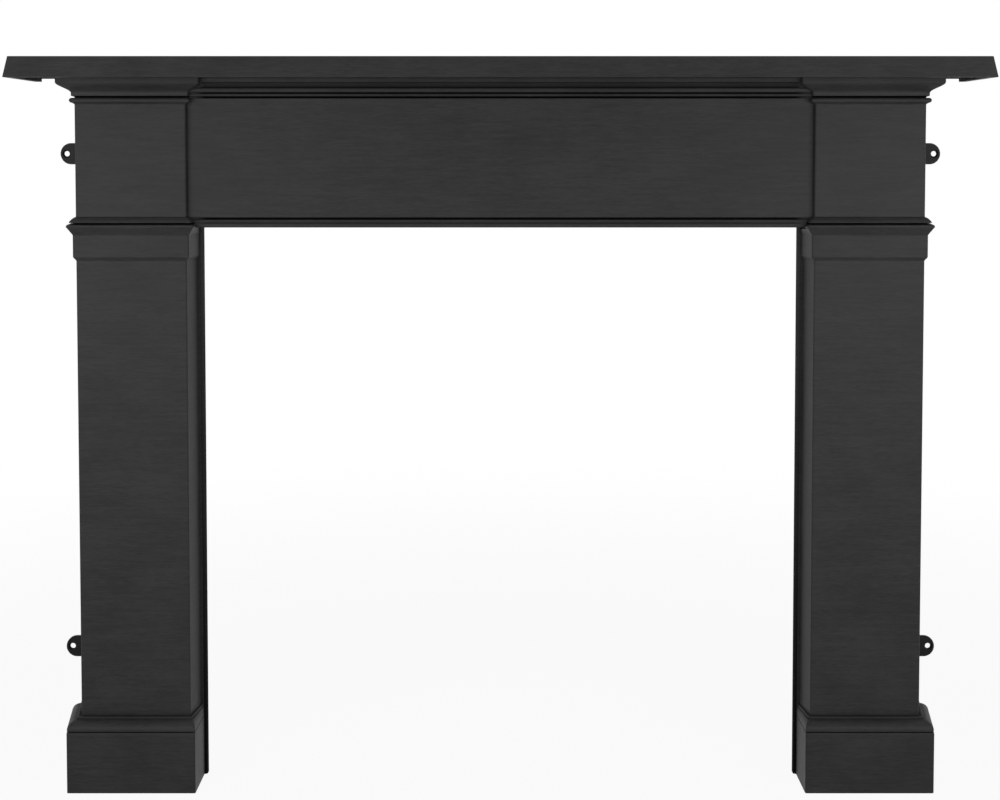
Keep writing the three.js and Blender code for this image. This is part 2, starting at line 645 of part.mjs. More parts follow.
function shelfGeometry() {
  const boltXs = [-LEG_SHELF_BOLT_X, -HEADER_SHELF_BOLT_X, HEADER_SHELF_BOLT_X, LEG_SHELF_BOLT_X];
  const bossHeight = SHELF_TOP_Z - CROWN_TOP_Z - SHELF_PLATE / 2;
  const bosses = boltXs.map((x) => bar(BOSS_RADIUS, bossHeight, [x, SHELF_BOLT_Y, CROWN_TOP_Z], UP));
  const holes = boltXs.map((x) => bar(
    M10.shank + HOLE_CLEARANCE,
    SHELF_HOLE_DEPTH + CUT_OVER,
    [x, SHELF_BOLT_Y, CROWN_TOP_Z - CUT_OVER],
    UP,
  ));
  return geometryOf(joined([shelfSlab().subtract(shelfCells()), ...bosses]).subtract(joined(holes)));
}

// ---- Wall lugs ----------------------------------------------------------------------------------------

// The right-hand lug, drawn round its own middle height: a flat tongue with a round end, a countersunk hole
// for the wall screw and a tapped hole for the set screw
function lugGeometry() {
  const tipX = LEG_OUTER_X + LUG_REACH;
  const half = LUG_HEIGHT / 2;
  const shape = new THREE.Shape();
  shape.moveTo(LEG_OUTER_X - LUG_TAIL, -half);
  shape.lineTo(tipX - half, -half);
  shape.absarc(tipX - half, 0, half, -Math.PI / 2, Math.PI / 2, false);
  shape.lineTo(LEG_OUTER_X - LUG_TAIL, half);
  const plate = new THREE.ExtrudeGeometry(shape, {
    depth: LUG_THICKNESS,
    bevelEnabled: false,
    curveSegments: ROUND_SIDES / 2,
  });
  const drawnOnWall = new THREE.Matrix4().makeBasis(RIGHT, UP, BACK.clone().negate());
  plate.applyMatrix4(drawnOnWall).translate(0, BACK_Y, 0);
  const frontY = BACK_Y - LUG_THICKNESS;
  const wallScrewX = tipX - LUG_HOLE_FROM_TIP;
  const countersink = new THREE.CylinderGeometry(
    LUG_HOLE_RADIUS,
    LUG_COUNTERSINK_RADIUS,
    LUG_COUNTERSINK_DEPTH,
    ROUND_SIDES,
  ).translate(wallScrewX, frontY + LUG_COUNTERSINK_DEPTH / 2, 0);
  const cuts = [
    solidOf(countersink),
    bar(LUG_HOLE_RADIUS, LUG_THICKNESS + 2 * CUT_OVER, [wallScrewX, frontY - CUT_OVER, 0], BACK),
    bar(
      M8.shank + HOLE_CLEARANCE,
      LUG_THICKNESS + 2 * CUT_OVER,
      [LEG_OUTER_X - LUG_SCREW_INSET, frontY - CUT_OVER, 0],
      BACK,
    ),
  ];
  return geometryOf(solidOf(plate).subtract(joined(cuts)));
}

// ---- Fasteners, drawn along +Z with the face under the head at zero -------------------------------------

function boltGeometry(size, length) {
  const overlap = size.head / 2;
  const cornerRadius = size.across / Math.sqrt(3);
  const hexagon = new THREE.CylinderGeometry(cornerRadius, cornerRadius, size.head, 6);
  const head = solidOf(hexagon.rotateX(Math.PI / 2).translate(0, 0, -size.head / 2));
  return geometryOf(head.add(bar(size.shank, length + overlap, [0, 0, -overlap], UP, FASTENER_SIDES)));
}

function washerGeometry(size) {
  const radius = size.shank + HOLE_CLEARANCE;
  const ring = bar(size.washerRadius, size.washer, [0, 0, 0], UP, FASTENER_SIDES);
  const hole = bar(radius, size.washer + 2 * CUT_OVER, [0, 0, -CUT_OVER], UP, FASTENER_SIDES);
  return geometryOf(ring.subtract(hole));
}

// ---- Assembly -----------------------------------------------------------------------------------------

const surround = new THREE.Group();

function place(parent, name, geometry, material, position = [0, 0, 0], direction = UP) {
  const mesh = new THREE.Mesh(geometry, material);
  mesh.name = name;
  mesh.position.set(...position);
  mesh.quaternion.setFromUnitVectors(UP, direction);
  parent.add(mesh);
}

// A bolt and its washer at the origin of their own group, turned to point along `direction`. The head's
// washer lies against the seat, which the group's position gives.
function boltStack(parent, names, size, length, seat, direction) {
  const stack = new THREE.Group();
  stack.position.set(...seat);
  stack.quaternion.setFromUnitVectors(UP, direction);
  const washerFoot = -JOINT_GAP - size.washer;
  place(stack, names.washer, washerGeometry(size), ZINC(), [0, 0, washerFoot]);
  place(stack, names.bolt, boltGeometry(size, length), ZINC(), [0, 0, washerFoot - JOINT_GAP]);
  parent.add(stack);
}

// What the head, the gap under it, its washer and the washer's gap take up before the seat
function underHead(size) {
  return size.washer + 2 * JOINT_GAP;
}

function addCastings(parent) {
  const rightLeg = rightLegGeometry();
  place(parent, 'shelf', shelfGeometry(), CASTING());
  place(parent, 'header', headerGeometry(), CASTING());
  place(parent, 'right_leg', rightLeg, CASTING());
  place(parent, 'left_leg', mirrored(rightLeg), CASTING());
}

function addLugs(parent) {
  const rightLug = lugGeometry();
  const padFrontY = BACK_Y - LUG_THICKNESS - JOINT_GAP - LUG_PAD_THICKNESS;
  const screwLength = underHead(M8) + LUG_PAD_THICKNESS + LUG_THICKNESS;
  for (const [level, z] of Object.entries(LUG_ZS)) {
    for (const [hand, side] of [['left', -1], ['right', 1]]) {
      const lug = side > 0 ? rightLug : mirrored(rightLug);
      place(parent, `${hand}_${level}_wall_lug`, lug, LUG_PAINT(), [0, 0, z]);
      boltStack(
        parent,
        { bolt: `${hand}_${level}_lug_screw`, washer: `${hand}_${level}_lug_washer` },
        M8,
        screwLength,
        [side * (LEG_OUTER_X - LUG_SCREW_INSET), padFrontY, z],
        BACK,
      );
    }
  }
}

function addHeaderBolts(parent) {
  const length = underHead(M10) + FLANGE + JOINT_GAP + HEADER_BOLT_GRIP;
  for (const [level, z] of Object.entries(HEADER_BOLT_ZS)) {
    for (const [hand, side] of [['left', -1], ['right', 1]]) {
      const name = `${hand}_${level}_header`;
      boltStack(
        parent,
        { bolt: `${name}_bolt`, washer: `${name}_washer` },
        M10,
        length,
        [side * (HEADER_END_X - FLANGE), HEADER_BOLT_Y, z],
        RIGHT.clone().multiplyScalar(side),
      );
    }
  }
}

function addShelfBolts(parent) {
  const seatZ = CROWN_TOP_Z - FLANGE;
  const length = underHead(M10) + FLANGE + SHELF_BOLT_GRIP;
  const spots = [['leg', LEG_SHELF_BOLT_X], ['header', HEADER_SHELF_BOLT_X]];
  for (const [casting, x] of spots) {
    for (const [hand, side] of [['left', -1], ['right', 1]]) {
      const name = `${hand}_${casting}_shelf`;
      boltStack(
        parent,
        { bolt: `${name}_bolt`, washer: `${name}_washer` },
        M10,
        length,
        [side * x, SHELF_BOLT_Y, seatZ],
        UP,
      );
    }
  }
}

addCastings(surround);
addLugs(surround);
addHeaderBolts(surround);
addShelfBolts(surround);

export default surround;
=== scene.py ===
"""The looks of a cast iron fireplace surround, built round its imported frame.

The surround is a shelf, a header and two legs, with four wall lugs and the bolts and screws that
hold them together. Every size is in millimetres until a mesh is made. X runs along the shelf,
Y runs back to the wall and Z runs up from the floor.
"""

import logging
import math
from collections.abc import Sequence
from dataclasses import dataclass, field
from enum import Enum

import bmesh
import bpy
import numpy as np
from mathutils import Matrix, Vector
from numpy.typing import ArrayLike


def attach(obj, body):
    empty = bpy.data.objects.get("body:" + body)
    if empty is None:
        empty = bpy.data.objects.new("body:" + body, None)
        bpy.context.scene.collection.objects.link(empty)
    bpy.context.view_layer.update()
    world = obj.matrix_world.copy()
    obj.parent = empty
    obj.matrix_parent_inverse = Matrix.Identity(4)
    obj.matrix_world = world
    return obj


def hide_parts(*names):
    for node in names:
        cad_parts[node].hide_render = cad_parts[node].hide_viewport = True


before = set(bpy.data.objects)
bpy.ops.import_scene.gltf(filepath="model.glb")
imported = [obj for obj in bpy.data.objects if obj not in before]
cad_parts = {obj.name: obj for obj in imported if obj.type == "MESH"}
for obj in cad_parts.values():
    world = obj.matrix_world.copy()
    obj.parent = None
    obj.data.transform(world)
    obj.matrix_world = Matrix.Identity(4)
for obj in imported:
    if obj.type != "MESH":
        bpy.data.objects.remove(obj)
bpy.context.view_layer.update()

Array = np.ndarray
Point = tuple[float, float, float]
MM = 0.001
X, Y, Z = (1.0, 0.0, 0.0), (0.0, 1.0, 0.0), (0.0, 0.0, 1.0)
MINUS_X = (-1.0, 0.0, 0.0)
# The point attribute that carries painted shade, which darkens the paint's colour.
PAINTED_SHADE_ATTRIBUTE = "groove"
LOG = logging.getLogger("surround")

# How far a cutting tool goes past the faces that it cuts through.
OVERCUT = 10.0
# How far a moulding's end face reaches in from its last edge.
END_INSET = 6.0
# Parts of a moulding's larger arcs.
LARGE_ARC = 14
# Neighbouring faces that meet at more than this many degrees keep a sharp edge.
SHARP_ANGLE = 32


# ---- Choices ----


class Skin(Enum):
    """Which of a casting's two finishes a surface wears."""

    FACE = 0
    BACK = 1


class Cut(Enum):
    """What a tool does to the body that it meets."""

    JOIN = "UNION"
    REMOVE = "DIFFERENCE"


class Heading(Enum):
    """Where a flat outline is carried: its two own axes, then the way it goes."""

    UP = (X, Y, Z)
    BACK = (Z, X, Y)
    RIGHT = (Y, Z, X)
    LEFT = (Z, Y, MINUS_X)


class Hand(Enum):
    """The side of the surround, as seen from the front."""

    LEFT = -1
    RIGHT = 1

    @property
    def label(self) -> str:
        """The word that starts the names on this side."""
        return self.name.lower()


# ---- Lines ----


def softened(marked: ArrayLike, closed: bool = False, steps: int = 4) -> Array:
    """A line with its corners rounded.

    A corner P becomes the curve P + t((1 - s)^2 u + s^2 v) for s from 0 to 1, where u and v point
    from P to its neighbours and t is the corner's mark, held to a share of the shorter side there.

    Args:
        marked: Rows of coordinates with the rounding of that corner as the last column.
        closed: Whether the last point joins the first.
        steps: Parts of each rounded corner.

    Returns:
        Rows of coordinates. A corner marked zero stays one point.
    """
    longest, tiny = 0.45, 1e-9
    marked = np.array(marked, float)
    points, marks = marked[:, :-1], marked[:, -1]
    if not closed:
        marks[[0, -1]] = 0
    before = np.roll(points, 1, axis=0) - points
    after = np.roll(points, -1, axis=0) - points
    span_before = np.maximum(np.linalg.norm(before, axis=1, keepdims=True), tiny)
    span_after = np.maximum(np.linalg.norm(after, axis=1, keepdims=True), tiny)
    trim = np.minimum(marks[:, None], longest * np.minimum(span_before, span_after))[:, None]
    share = np.linspace(0, 1, steps + 1)[None, :, None]
    bend = (1 - share) ** 2 * (before / span_before)[:, None]
    bend = bend + share**2 * (after / span_after)[:, None]
    curve = points[:, None] + trim * bend
    kept = np.ones(curve.shape[:2], bool)
    kept[trim[:, 0, 0] < 1000 * tiny, 1:] = False
    return curve[kept]


def quarter(count: int) -> Array:
    """Even angles from zero to a quarter turn."""
    return np.linspace(0, np.pi / 2, count)


def circle(radius: float, sides: int = 48) -> Array:
    """A round outline: (r cos a, r sin a) for even angles a."""
    angle = np.linspace(0, 2 * np.pi, sides, endpoint=False)
    return radius * np.stack((np.cos(angle), np.sin(angle)), axis=-1)


def rectangle(low: tuple[float, float], high: tuple[float, float], rounding: float) -> Array:
    """An outline between two opposite corners, with its corners rounded."""
    (left, bottom), (right, top) = low, high
    corners = [(left, bottom), (right, bottom), (right, top), (left, top)]
    return softened([(*corner, rounding) for corner in corners], closed=True)


def arc(start: ArrayLike, end: ArrayLike, bulge: float, parts: int) -> Array:
    """The points between two ends of a circular arc, marked for no rounding.

    With half the chord h, the radius is (h^2 + bulge^2) / (2 bulge), and the points stand at even
    angles about the arc's own centre.

    Args:
        start: The first end, which isn't among the points.
        end: The last end, which isn't either.
        bulge: How far the arc leaves its chord: outwards, or inwards if negative.
        parts: Parts of the arc.

    Returns:
        Rows of two coordinates and a zero.
    """
    first, chord = np.asarray(start, float), np.subtract(end, start)
    half = np.linalg.norm(chord) / 2
    outward = np.array([chord[1], -chord[0]]) / (2 * half)
    radius = (half**2 + bulge**2) / (2 * bulge)
    angle = np.arcsin(half / radius) * np.linspace(-1, 1, parts + 1)[1:-1, None]
    along = (np.sin(angle) * radius + half) / (2 * half)
    off = np.cos(angle) * radius - (radius - bulge)
    return np.pad(first + along * chord + off * outward, ((0, 0), (0, 1)))


@dataclass(frozen=True)
class Step:
    """A corner of a moulding's profile, `out` from the face and `rise` above the one before.

    A bulge makes the way to it an arc: outwards, or inwards if negative.
    """

    out: float
    rise: float = 0.0
    rounding: float = 0.3
    bulge: float = 0.0
    parts: int = 10


def stacked(foot: float, steps: Sequence[Step]) -> Array:
    """Rows (out, z, rounding) of a profile, from `foot` up."""
    rows: list[Array] = []
    z = foot
    for step in steps:
        z += step.rise
        if step.bulge:
            rows.append(arc(rows[-1][-1, :2], (step.out, z), step.bulge, step.parts))
        rows.append(np.array([(step.out, z, step.rounding)]))
    return np.vstack(rows)


def hung(top: float, steps: Sequence[Step]) -> Array:
    """Rows (out, z, rounding) of a profile whose last corner is at `top`."""
    return stacked(top - sum(step.rise for step in steps), steps)


def painted_groove_shade(
    profile: Array, reach: float = 9.0, open_share: float = 0.33, spread: float = 0.3
) -> Array:
    """Painted shade for how shut in a moulding's points are, from 0 on an open face to 1 in a
    groove.

    Looking level from the point, iron within `reach` above it rises to an angle, and iron below it
    to another. The point's shade grows from 0 to 1 as their sum, as a share of a half turn, grows
    from `open_share` by `spread`.

    Args:
        profile: Rows (out, z, ...).
        reach: How far up and down the iron is looked for.
        open_share: The largest share of an open face.
        spread: From there to the share of a shut groove.

    Returns:
        One painted shade for each row.
    """
    least_rise = 0.35
    out, z = profile[:, 0], profile[:, 1]
    rise, run = z[None] - z[:, None], out[None] - out[:, None]
    angle = np.where(np.abs(rise) <= reach, np.arctan2(run, np.abs(rise) + least_rise), 0)
    above = np.where(rise >= 0, angle, 0).max(axis=1)
    below = np.where(rise <= 0, angle, 0).max(axis=1)
    return np.clip(((above + below) / np.pi - open_share) / spread, 0, 1)


# ---- Surfaces ----


@dataclass
class Surface:
    """A closed surface: its points in millimetres, its four-sided faces and its end caps.

    `shade` is how shut in each point is, painted as shade from 0 to 1. Left out, it is 0
    everywhere.
    """

    places: Array
    quads: Array
    caps: list[Array] = field(default_factory=list)
    shade: Array | None = None

    def __add__(self, other: "Surface") -> "Surface":
        """Both surfaces as one, with no painted shade."""
        shift = len(self.places)
        return Surface(
            np.vstack((self.places, other.places)),
            np.vstack((self.quads, other.quads + shift)),
            self.caps + [cap + shift for cap in other.caps],
        )

    def moved(self, offset: Point) -> "Surface":
        """The same surface somewhere else."""
        return Surface(self.places + np.array(offset), self.quads, self.caps, self.shade)

    def mirrored(self) -> "Surface":
        """The same surface on the other side of the surround, its faces turned to suit."""
        caps = [cap[::-1] for cap in self.caps]
        return Surface(self.places * (-1, 1, 1), self.quads[:, ::-1], caps, self.shade)

    def on(self, hand: Hand) -> "Surface":
        """A surface drawn for the right-hand side, on the side asked for."""
        return self if hand is Hand.RIGHT else self.mirrored()


def together(surfaces: Sequence[Surface]) -> Surface:
    """Several surfaces as one."""
    return sum(surfaces[1:], surfaces[0])


def lofted(rings: Array, looped: bool = False) -> Surface:
    """A closed surface through rings of points.

    Point (row, column) is joined to its neighbours in both directions, and the columns close on
    themselves.

    Args:
        rings: Points of shape (rows, columns, 3).
        looped: Whether the last row joins the first. If not, both are capped.

    Returns:
        The surface.
    """
    rows, columns = rings.shape[:2]
    index = np.arange(rows * columns).reshape(rows, columns)
    beside, above = np.roll(index, -1, axis=1), np.roll(index, -1, axis=0)
    quads = np.stack((index, beside, np.roll(above, -1, axis=1), above), axis=-1)
    quads = quads if looped else quads[:-1]
    caps = [] if looped else [index[0, ::-1], index[-1]]
    return Surface(rings.reshape(-1, 3), quads.reshape(-1, 4), caps)


def prism(
    outline: Array, levels: ArrayLike, heading: Heading, origin: Point = (0.0, 0.0, 0.0)
) -> Surface:
    """A closed surface through copies of a flat outline.

    At each level the outline is drawn in along its own normals and carried along the heading:
    place = origin + a' u + b' v + height w, with (a', b') = (a, b) - inset n.

    Args:
        outline: Rows (a, b), counter-clockwise.
        levels: Rows (inset, height).
        heading: The axes u, v and w.
        origin: Where the outline's own origin stands.

    Returns:
        The surface, capped at its first and last levels.
    """
    inset, height = np.array(levels, float).T[..., None, None]
    tangent = np.roll(outline, -1, axis=0) - np.roll(outline, 1, axis=0)
    tangent /= np.linalg.norm(tangent, axis=1, keepdims=True)
    normal = np.stack((tangent[:, 1], -tangent[:, 0]), axis=-1)
    flat = outline[None] - inset * normal[None]
    carried = np.broadcast_to(height, (*flat.shape[:2], 1))
    return lofted(np.concatenate((flat, carried), axis=-1) @ np.array(heading.value) + origin)


def bore(radius: float, start: Point, depth: float, heading: Heading) -> Surface:
    """A round cutting tool that starts at a point and goes to a depth."""
    return prism(circle(radius), [(0, 0), (0, depth)], heading, start)


def soft_levels(low: float, high: float, rounding: float) -> Array:
    """Levels of a straight prism whose two end edges are rounded."""
    inner = 2 * rounding
    return softened([(inner, low, 0), (0, low, rounding), (0, high, rounding), (inner, high, 0)])


# ---- Meshes ----


def mesh_of(name: str, surface: Surface, skin: Skin = Skin.FACE) -> bpy.types.Mesh:
    """A Blender mesh, in metres, with its faces pointing outwards.

    Args:
        name: The mesh's name.
        surface: What it holds.
        skin: The finish of all its faces.

    Returns:
        The mesh.
    """
    mesh = bpy.data.meshes.new(name)
    faces = surface.quads.tolist() + [cap.tolist() for cap in surface.caps]
    mesh.from_pydata(surface.places * MM, [], faces)
    for _ in Skin:
        mesh.materials.append(None)
    mesh.polygons.foreach_set("material_index", np.full(len(faces), skin.value, np.int32))
    # Each point's painted shade, read by the paints' materials.
    shade = np.zeros(len(surface.places)) if surface.shade is None else surface.shade
    mesh.attributes.new(PAINTED_SHADE_ATTRIBUTE, "FLOAT", "POINT").data.foreach_set("value", shade)
    shell = bmesh.new()
    shell.from_mesh(mesh)
    bmesh.ops.recalc_face_normals(shell, faces=shell.faces)
    shell.to_mesh(mesh)
    shell.free()
    return mesh


def linked(name: str, data: bpy.types.ID) -> bpy.types.Object:
    """A new object in the scene that holds a mesh, a lamp or a camera."""
    thing = bpy.data.objects.new(name, data)
    bpy.context.scene.collection.objects.link(thing)
    return thing


def settle(thing: bpy.types.Object) -> None:
    """Replaces an object's mesh with what its modifiers make of it."""
    graph = bpy.context.evaluated_depsgraph_get()
    made = bpy.data.meshes.new_from_object(
        thing.evaluated_get(graph), preserve_all_data_layers=True, depsgraph=graph
    )
    old = thing.data
    thing.modifiers.clear()
    thing.data = made
    bpy.data.meshes.remove(old)


@dataclass
class Stage:
    """One step of making a casting: a tool, what it does, and the finish that it leaves."""

    cut: Cut
    tool: Surface
    skin: Skin = Skin.BACK


def machined(name: str, body: Surface, stages: Sequence[Stage] = ()) -> bpy.types.Object:
    """A piece made from a body by a row of joins and cuts, with flat faces that shade flat.

    Args:
        name: The piece's name.
        body: The closed surface that it starts from.
        stages: The joins and cuts, in order.

    Returns:
        The piece's object.
    """
    thing = linked(name, mesh_of(name, body))
    tools = [linked("tool", mesh_of("tool", stage.tool, stage.skin)) for stage in stages]
    for stage, tool in zip(stages, tools, strict=True):
        modifier = thing.modifiers.new("Cut", "BOOLEAN")
        modifier.operation = stage.cut.value
        modifier.solver = "EXACT"
        modifier.object = tool
    settle(thing)
    for tool in tools:
        bpy.data.meshes.remove(tool.data)
    thing.data.shade_smooth()
    thing.data.set_sharp_from_angle(angle=math.radians(SHARP_ANGLE))
    thing.modifiers.new("Shading", "WEIGHTED_NORMAL").keep_sharp = True
    settle(thing)
    return thing


# ---- Shader nodes ----


class Number:
    """A value that a material works out. Its operators add Math nodes."""

    def __init__(self, web: "Web", socket: bpy.types.NodeSocket) -> None:
        """Wraps one output socket of a web of nodes."""
        self.web = web
        self.socket = socket

    def __add__(self, other: "Number | float") -> "Number":
        """Sum."""
        return self.web.maths("ADD", self, other)

    def __sub__(self, other: "Number | float") -> "Number":
        """Difference."""
        return self.web.maths("SUBTRACT", self, other)

    def __mul__(self, other: "Number | float") -> "Number":
        """Product."""
        return self.web.maths("MULTIPLY", self, other)

    __radd__ = __add__


Feed = Number | bpy.types.NodeSocket | float | tuple[float, ...]


class Web:
    """The nodes of one material or world."""

    def __init__(self, owner: bpy.types.Material | bpy.types.World) -> None:
        """Starts with no nodes."""
        owner.use_nodes = True
        self.tree = owner.node_tree
        self.tree.nodes.clear()

    def node(
        self,
        kind: str,
        settings: dict[str, object] | None = None,
        inputs: dict[str | int, Feed] | None = None,
    ) -> bpy.types.Node:
        """Adds a node.

        Args:
            kind: The node's type, without its ShaderNode prefix.
            settings: The node's own properties, which are set first.
            inputs: A value or a link for each socket, by its name or its number.

        Returns:
            The node.
        """
        made = self.tree.nodes.new(f"ShaderNode{kind}")
        for key, value in (settings or {}).items():
            setattr(made, key, value)
        for key, value in (inputs or {}).items():
            socket = made.inputs[key] if isinstance(key, int) else self.named(made, key)
            source = value.socket if isinstance(value, Number) else value
            if isinstance(source, bpy.types.NodeSocket):
                self.tree.links.new(source, socket)
            else:
                socket.default_value = source
        return made

    @staticmethod
    def named(made: bpy.types.Node, name: str) -> bpy.types.NodeSocket:
        """The node's shown input of that name."""
        return next(s for s in made.inputs if s.enabled and s.name == name)

    def maths(self, operation: str, first: Feed, second: Feed) -> Number:
        """One sum on two values."""
        made = self.node("Math", {"operation": operation}, {0: first, 1: second})
        return Number(self, made.outputs[0])

    def noise(self, stretch: Point, detail: float = 2.0) -> Number:
        """Smooth noise from 0 to 1 whose grains are 1/stretch metres long on each axis."""
        here = self.node("TexCoord").outputs["Object"]
        inputs = {0: here, 1: stretch}
        place = self.node("VectorMath", {"operation": "MULTIPLY"}, inputs).outputs[0]
        inputs = {"Vector": place, "Scale": 1.0, "Detail": detail}
        return Number(self, self.node("TexNoise", inputs=inputs).outputs[0])

    def shown(self) -> Number:
        """1 for a ray from the camera, a gloss or a glass, and 0 for one that only lights."""
        path = self.node("LightPath").outputs
        kinds = ("Is Camera Ray", "Is Glossy Ray", "Is Transmission Ray")
        camera, glossy, glass = (Number(self, path[kind]) for kind in kinds)
        return self.maths("MINIMUM", camera + glossy + glass, 1.0)

    def ramp(self, value: Feed, low: float, high: float) -> Number:
        """0 below `low`, 1 above `high` and a smooth step between."""
        settings = {"interpolation_type": "SMOOTHSTEP"}
        inputs = {"Value": value, "From Min": low, "From Max": high}
        return Number(self, self.node("MapRange", settings, inputs).outputs[0])

    def tint(self, factor: Feed, first: Feed, second: Feed) -> bpy.types.NodeSocket:
        """The first colour turning into the second."""
        inputs = {"Factor": factor, "A": first, "B": second}
        made = self.node("Mix", {"data_type": "RGBA"}, inputs)
        return next(s for s in made.outputs if s.enabled)

    def bump(self, height: Feed, depth: float, below: Feed | None = None) -> bpy.types.NodeSocket:
        """The normal of a surface raised by `height` times `depth` metres."""
        inputs = {"Height": height, "Distance": depth, "Strength": 1.0}
        if below is not None:
            inputs["Normal"] = below
        return self.node("Bump", inputs=inputs).outputs[0]

    def finish(self, shader: bpy.types.Node, output: str = "Material") -> None:
        """Links a shader to the output."""
        self.node(f"Output{output}", inputs={"Surface": shader.outputs[0]})


# ---- Finishes ----


def grey(value: float, warmth: float = 0.0) -> tuple[float, float, float, float]:
    """A colour near grey, a little warmer if `warmth` is above zero."""
    return (value * (1 + warmth), value, value * (1 - warmth), 1.0)


def even(scale: float) -> Point:
    """The same stretch on all three axes."""
    return (scale, scale, scale)


@dataclass(frozen=True)
class BlackIron:
    """Black paint on sand-cast iron: fine level streaks, faint blotches and a sandy grain.

    The stretches are how many grains of each noise there are to a metre, on each axis. The shares
    say how much each noise counts in the colour. The mesh's painted shade darkens the colour to
    black in grooves and hollows, and raises the roughness there.
    """

    name: str
    colour: float = 0.031
    warmth: float = 0.0
    specular: float = 0.1
    contrast: float = 0.30
    roughness: float = 0.52
    roughness_swing: float = 0.14
    streak_stretch: Point = (75.0, 75.0, 620.0)
    drag_stretch: Point = (16.0, 16.0, 210.0)
    blotch_stretch: Point = (11.0, 11.0, 15.0)
    sway_stretch: Point = (14.0, 14.0, 22.0)
    grain: float = 900.0
    streak_share: float = 0.34
    drag_share: float = 0.22
    blotch_share: float = 0.28
    grain_share: float = 0.16
    dark_below: float = 0.3
    light_above: float = 0.7
    streak_depth: float = 0.00004
    drag_relief: float = 0.6
    grain_depth: float = 0.00005
    sway_depth: float = 0.0008

    def material(self) -> bpy.types.Material:
        """The finish as a material."""
        made = bpy.data.materials.new(self.name)
        web = Web(made)
        streak = web.noise(self.streak_stretch, 3.0)
        drag = web.noise(self.drag_stretch)
        blotch = web.noise(self.blotch_stretch)
        grain = web.noise(even(self.grain))
        sway = web.noise(self.sway_stretch, 1.0)
        mixed = streak * self.streak_share + drag * self.drag_share
        mixed = mixed + blotch * self.blotch_share + grain * self.grain_share
        shade = web.ramp(mixed, self.dark_below, self.light_above)
        # Painted shade from the mesh: at 1 the colour goes black and the roughness goes to 1.
        groove = Number(web, web.node("Attribute", {"attribute_name": PAINTED_SHADE_ATTRIBUTE}).outputs["Fac"])
        dark = grey(self.colour * (1 - self.contrast), self.warmth)
        light = grey(self.colour * (1 + self.contrast), self.warmth)
        gloss = self.roughness + (blotch - 0.5) * self.roughness_swing
        gloss = gloss + (streak - 0.5) * self.roughness_swing
        waved = web.bump(sway, self.sway_depth)
        brushed = web.bump(streak + drag * self.drag_relief, self.streak_depth, waved)
        inputs = {
            # Painted shade takes the streaked colour down towards black.
            "Base Color": web.tint(groove, web.tint(shade, dark, light), grey(0.0)),
            "Roughness": gloss + groove * (1 - self.roughness),
            "Specular IOR Level": self.specular,
            "Normal": web.bump(grain, self.grain_depth, brushed),
        }
        web.finish(web.node("BsdfPrincipled", inputs=inputs))
        return made


@dataclass(frozen=True)
class ZincPlate:
    """Dull zinc on a steel fastener, with a faint grey bloom and a fine scratch."""

    name: str = "dull_zinc"
    bright: float = 0.42
    dull: float = 0.26
    warmth: float = 0.01
    roughness: float = 0.36
    bloom: float = 260.0
    bloom_from: float = 0.38
    bloom_full: float = 0.66
    bloom_roughness: float = 0.2
    scratch: float = 2400.0
    scratch_roughness: float = 0.1
    scratch_depth: float = 0.00002

    def material(self) -> bpy.types.Material:
        """The finish as a material."""
        made = bpy.data.materials.new(self.name)
        web = Web(made)
        bloom = web.ramp(web.noise(even(self.bloom), 3.0), self.bloom_from, self.bloom_full)
        scratch = web.noise(even(self.scratch), 1.0)
        gloss = self.roughness + bloom * self.bloom_roughness
        inputs = {
            "Base Color": web.tint(bloom, grey(self.bright), grey(self.dull, self.warmth)),
            "Roughness": gloss + (scratch - 0.5) * self.scratch_roughness,
            "Metallic": 1.0,
            "Normal": web.bump(scratch, self.scratch_depth),
        }
        web.finish(web.node("BsdfPrincipled", inputs=inputs))
        return made


FACE_PAINT = BlackIron("black_iron_face")
BACK_PAINT = BlackIron(
    "black_iron_back",
    colour=0.024,
    warmth=0.04,
    contrast=0.45,
    roughness=0.72,
    streak_depth=0.00002,
    grain_depth=0.00028,
    grain=520.0,
)
LUG_PAINT = BlackIron(
    "black_lug_paint", colour=0.012, contrast=0.25, roughness=0.5, sway_depth=0.0002
)
ZINC = ZincPlate()


class Dressing:
    """Makes each finish once, and puts pieces on the frame in place of its nodes."""

    def __init__(self) -> None:
        """Starts with no finish made."""
        self.made: dict[str, bpy.types.Material] = {}

    def material(self, finish: BlackIron | ZincPlate) -> bpy.types.Material:
        """A finish's material, made the first time it is asked for."""
        if finish.name not in self.made:
            self.made[finish.name] = finish.material()
        return self.made[finish.name]

    def dress(
        self,
        thing: bpy.types.Object,
        node: str,
        finishes: Sequence[BlackIron | ZincPlate],
    ) -> None:
        """Puts a finished piece on the frame.

        Args:
            thing: The piece.
            node: The node that it stands for.
            finishes: One finish for each skin that the piece has.
        """
        slots = thing.data.materials
        for index, finish in enumerate(finishes):
            slots[index] = self.material(finish)
        while len(slots) > len(finishes):
            slots.pop()
        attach(thing, "root")
        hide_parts(node)
        LOG.info("%s stands for %s with %d faces", thing.name, node, len(thing.data.polygons))

    def casting(self, thing: bpy.types.Object, node: str) -> None:
        """Puts one of the iron castings on the frame."""
        self.dress(thing, node, (FACE_PAINT, BACK_PAINT))


# ---- The surround's layout ----


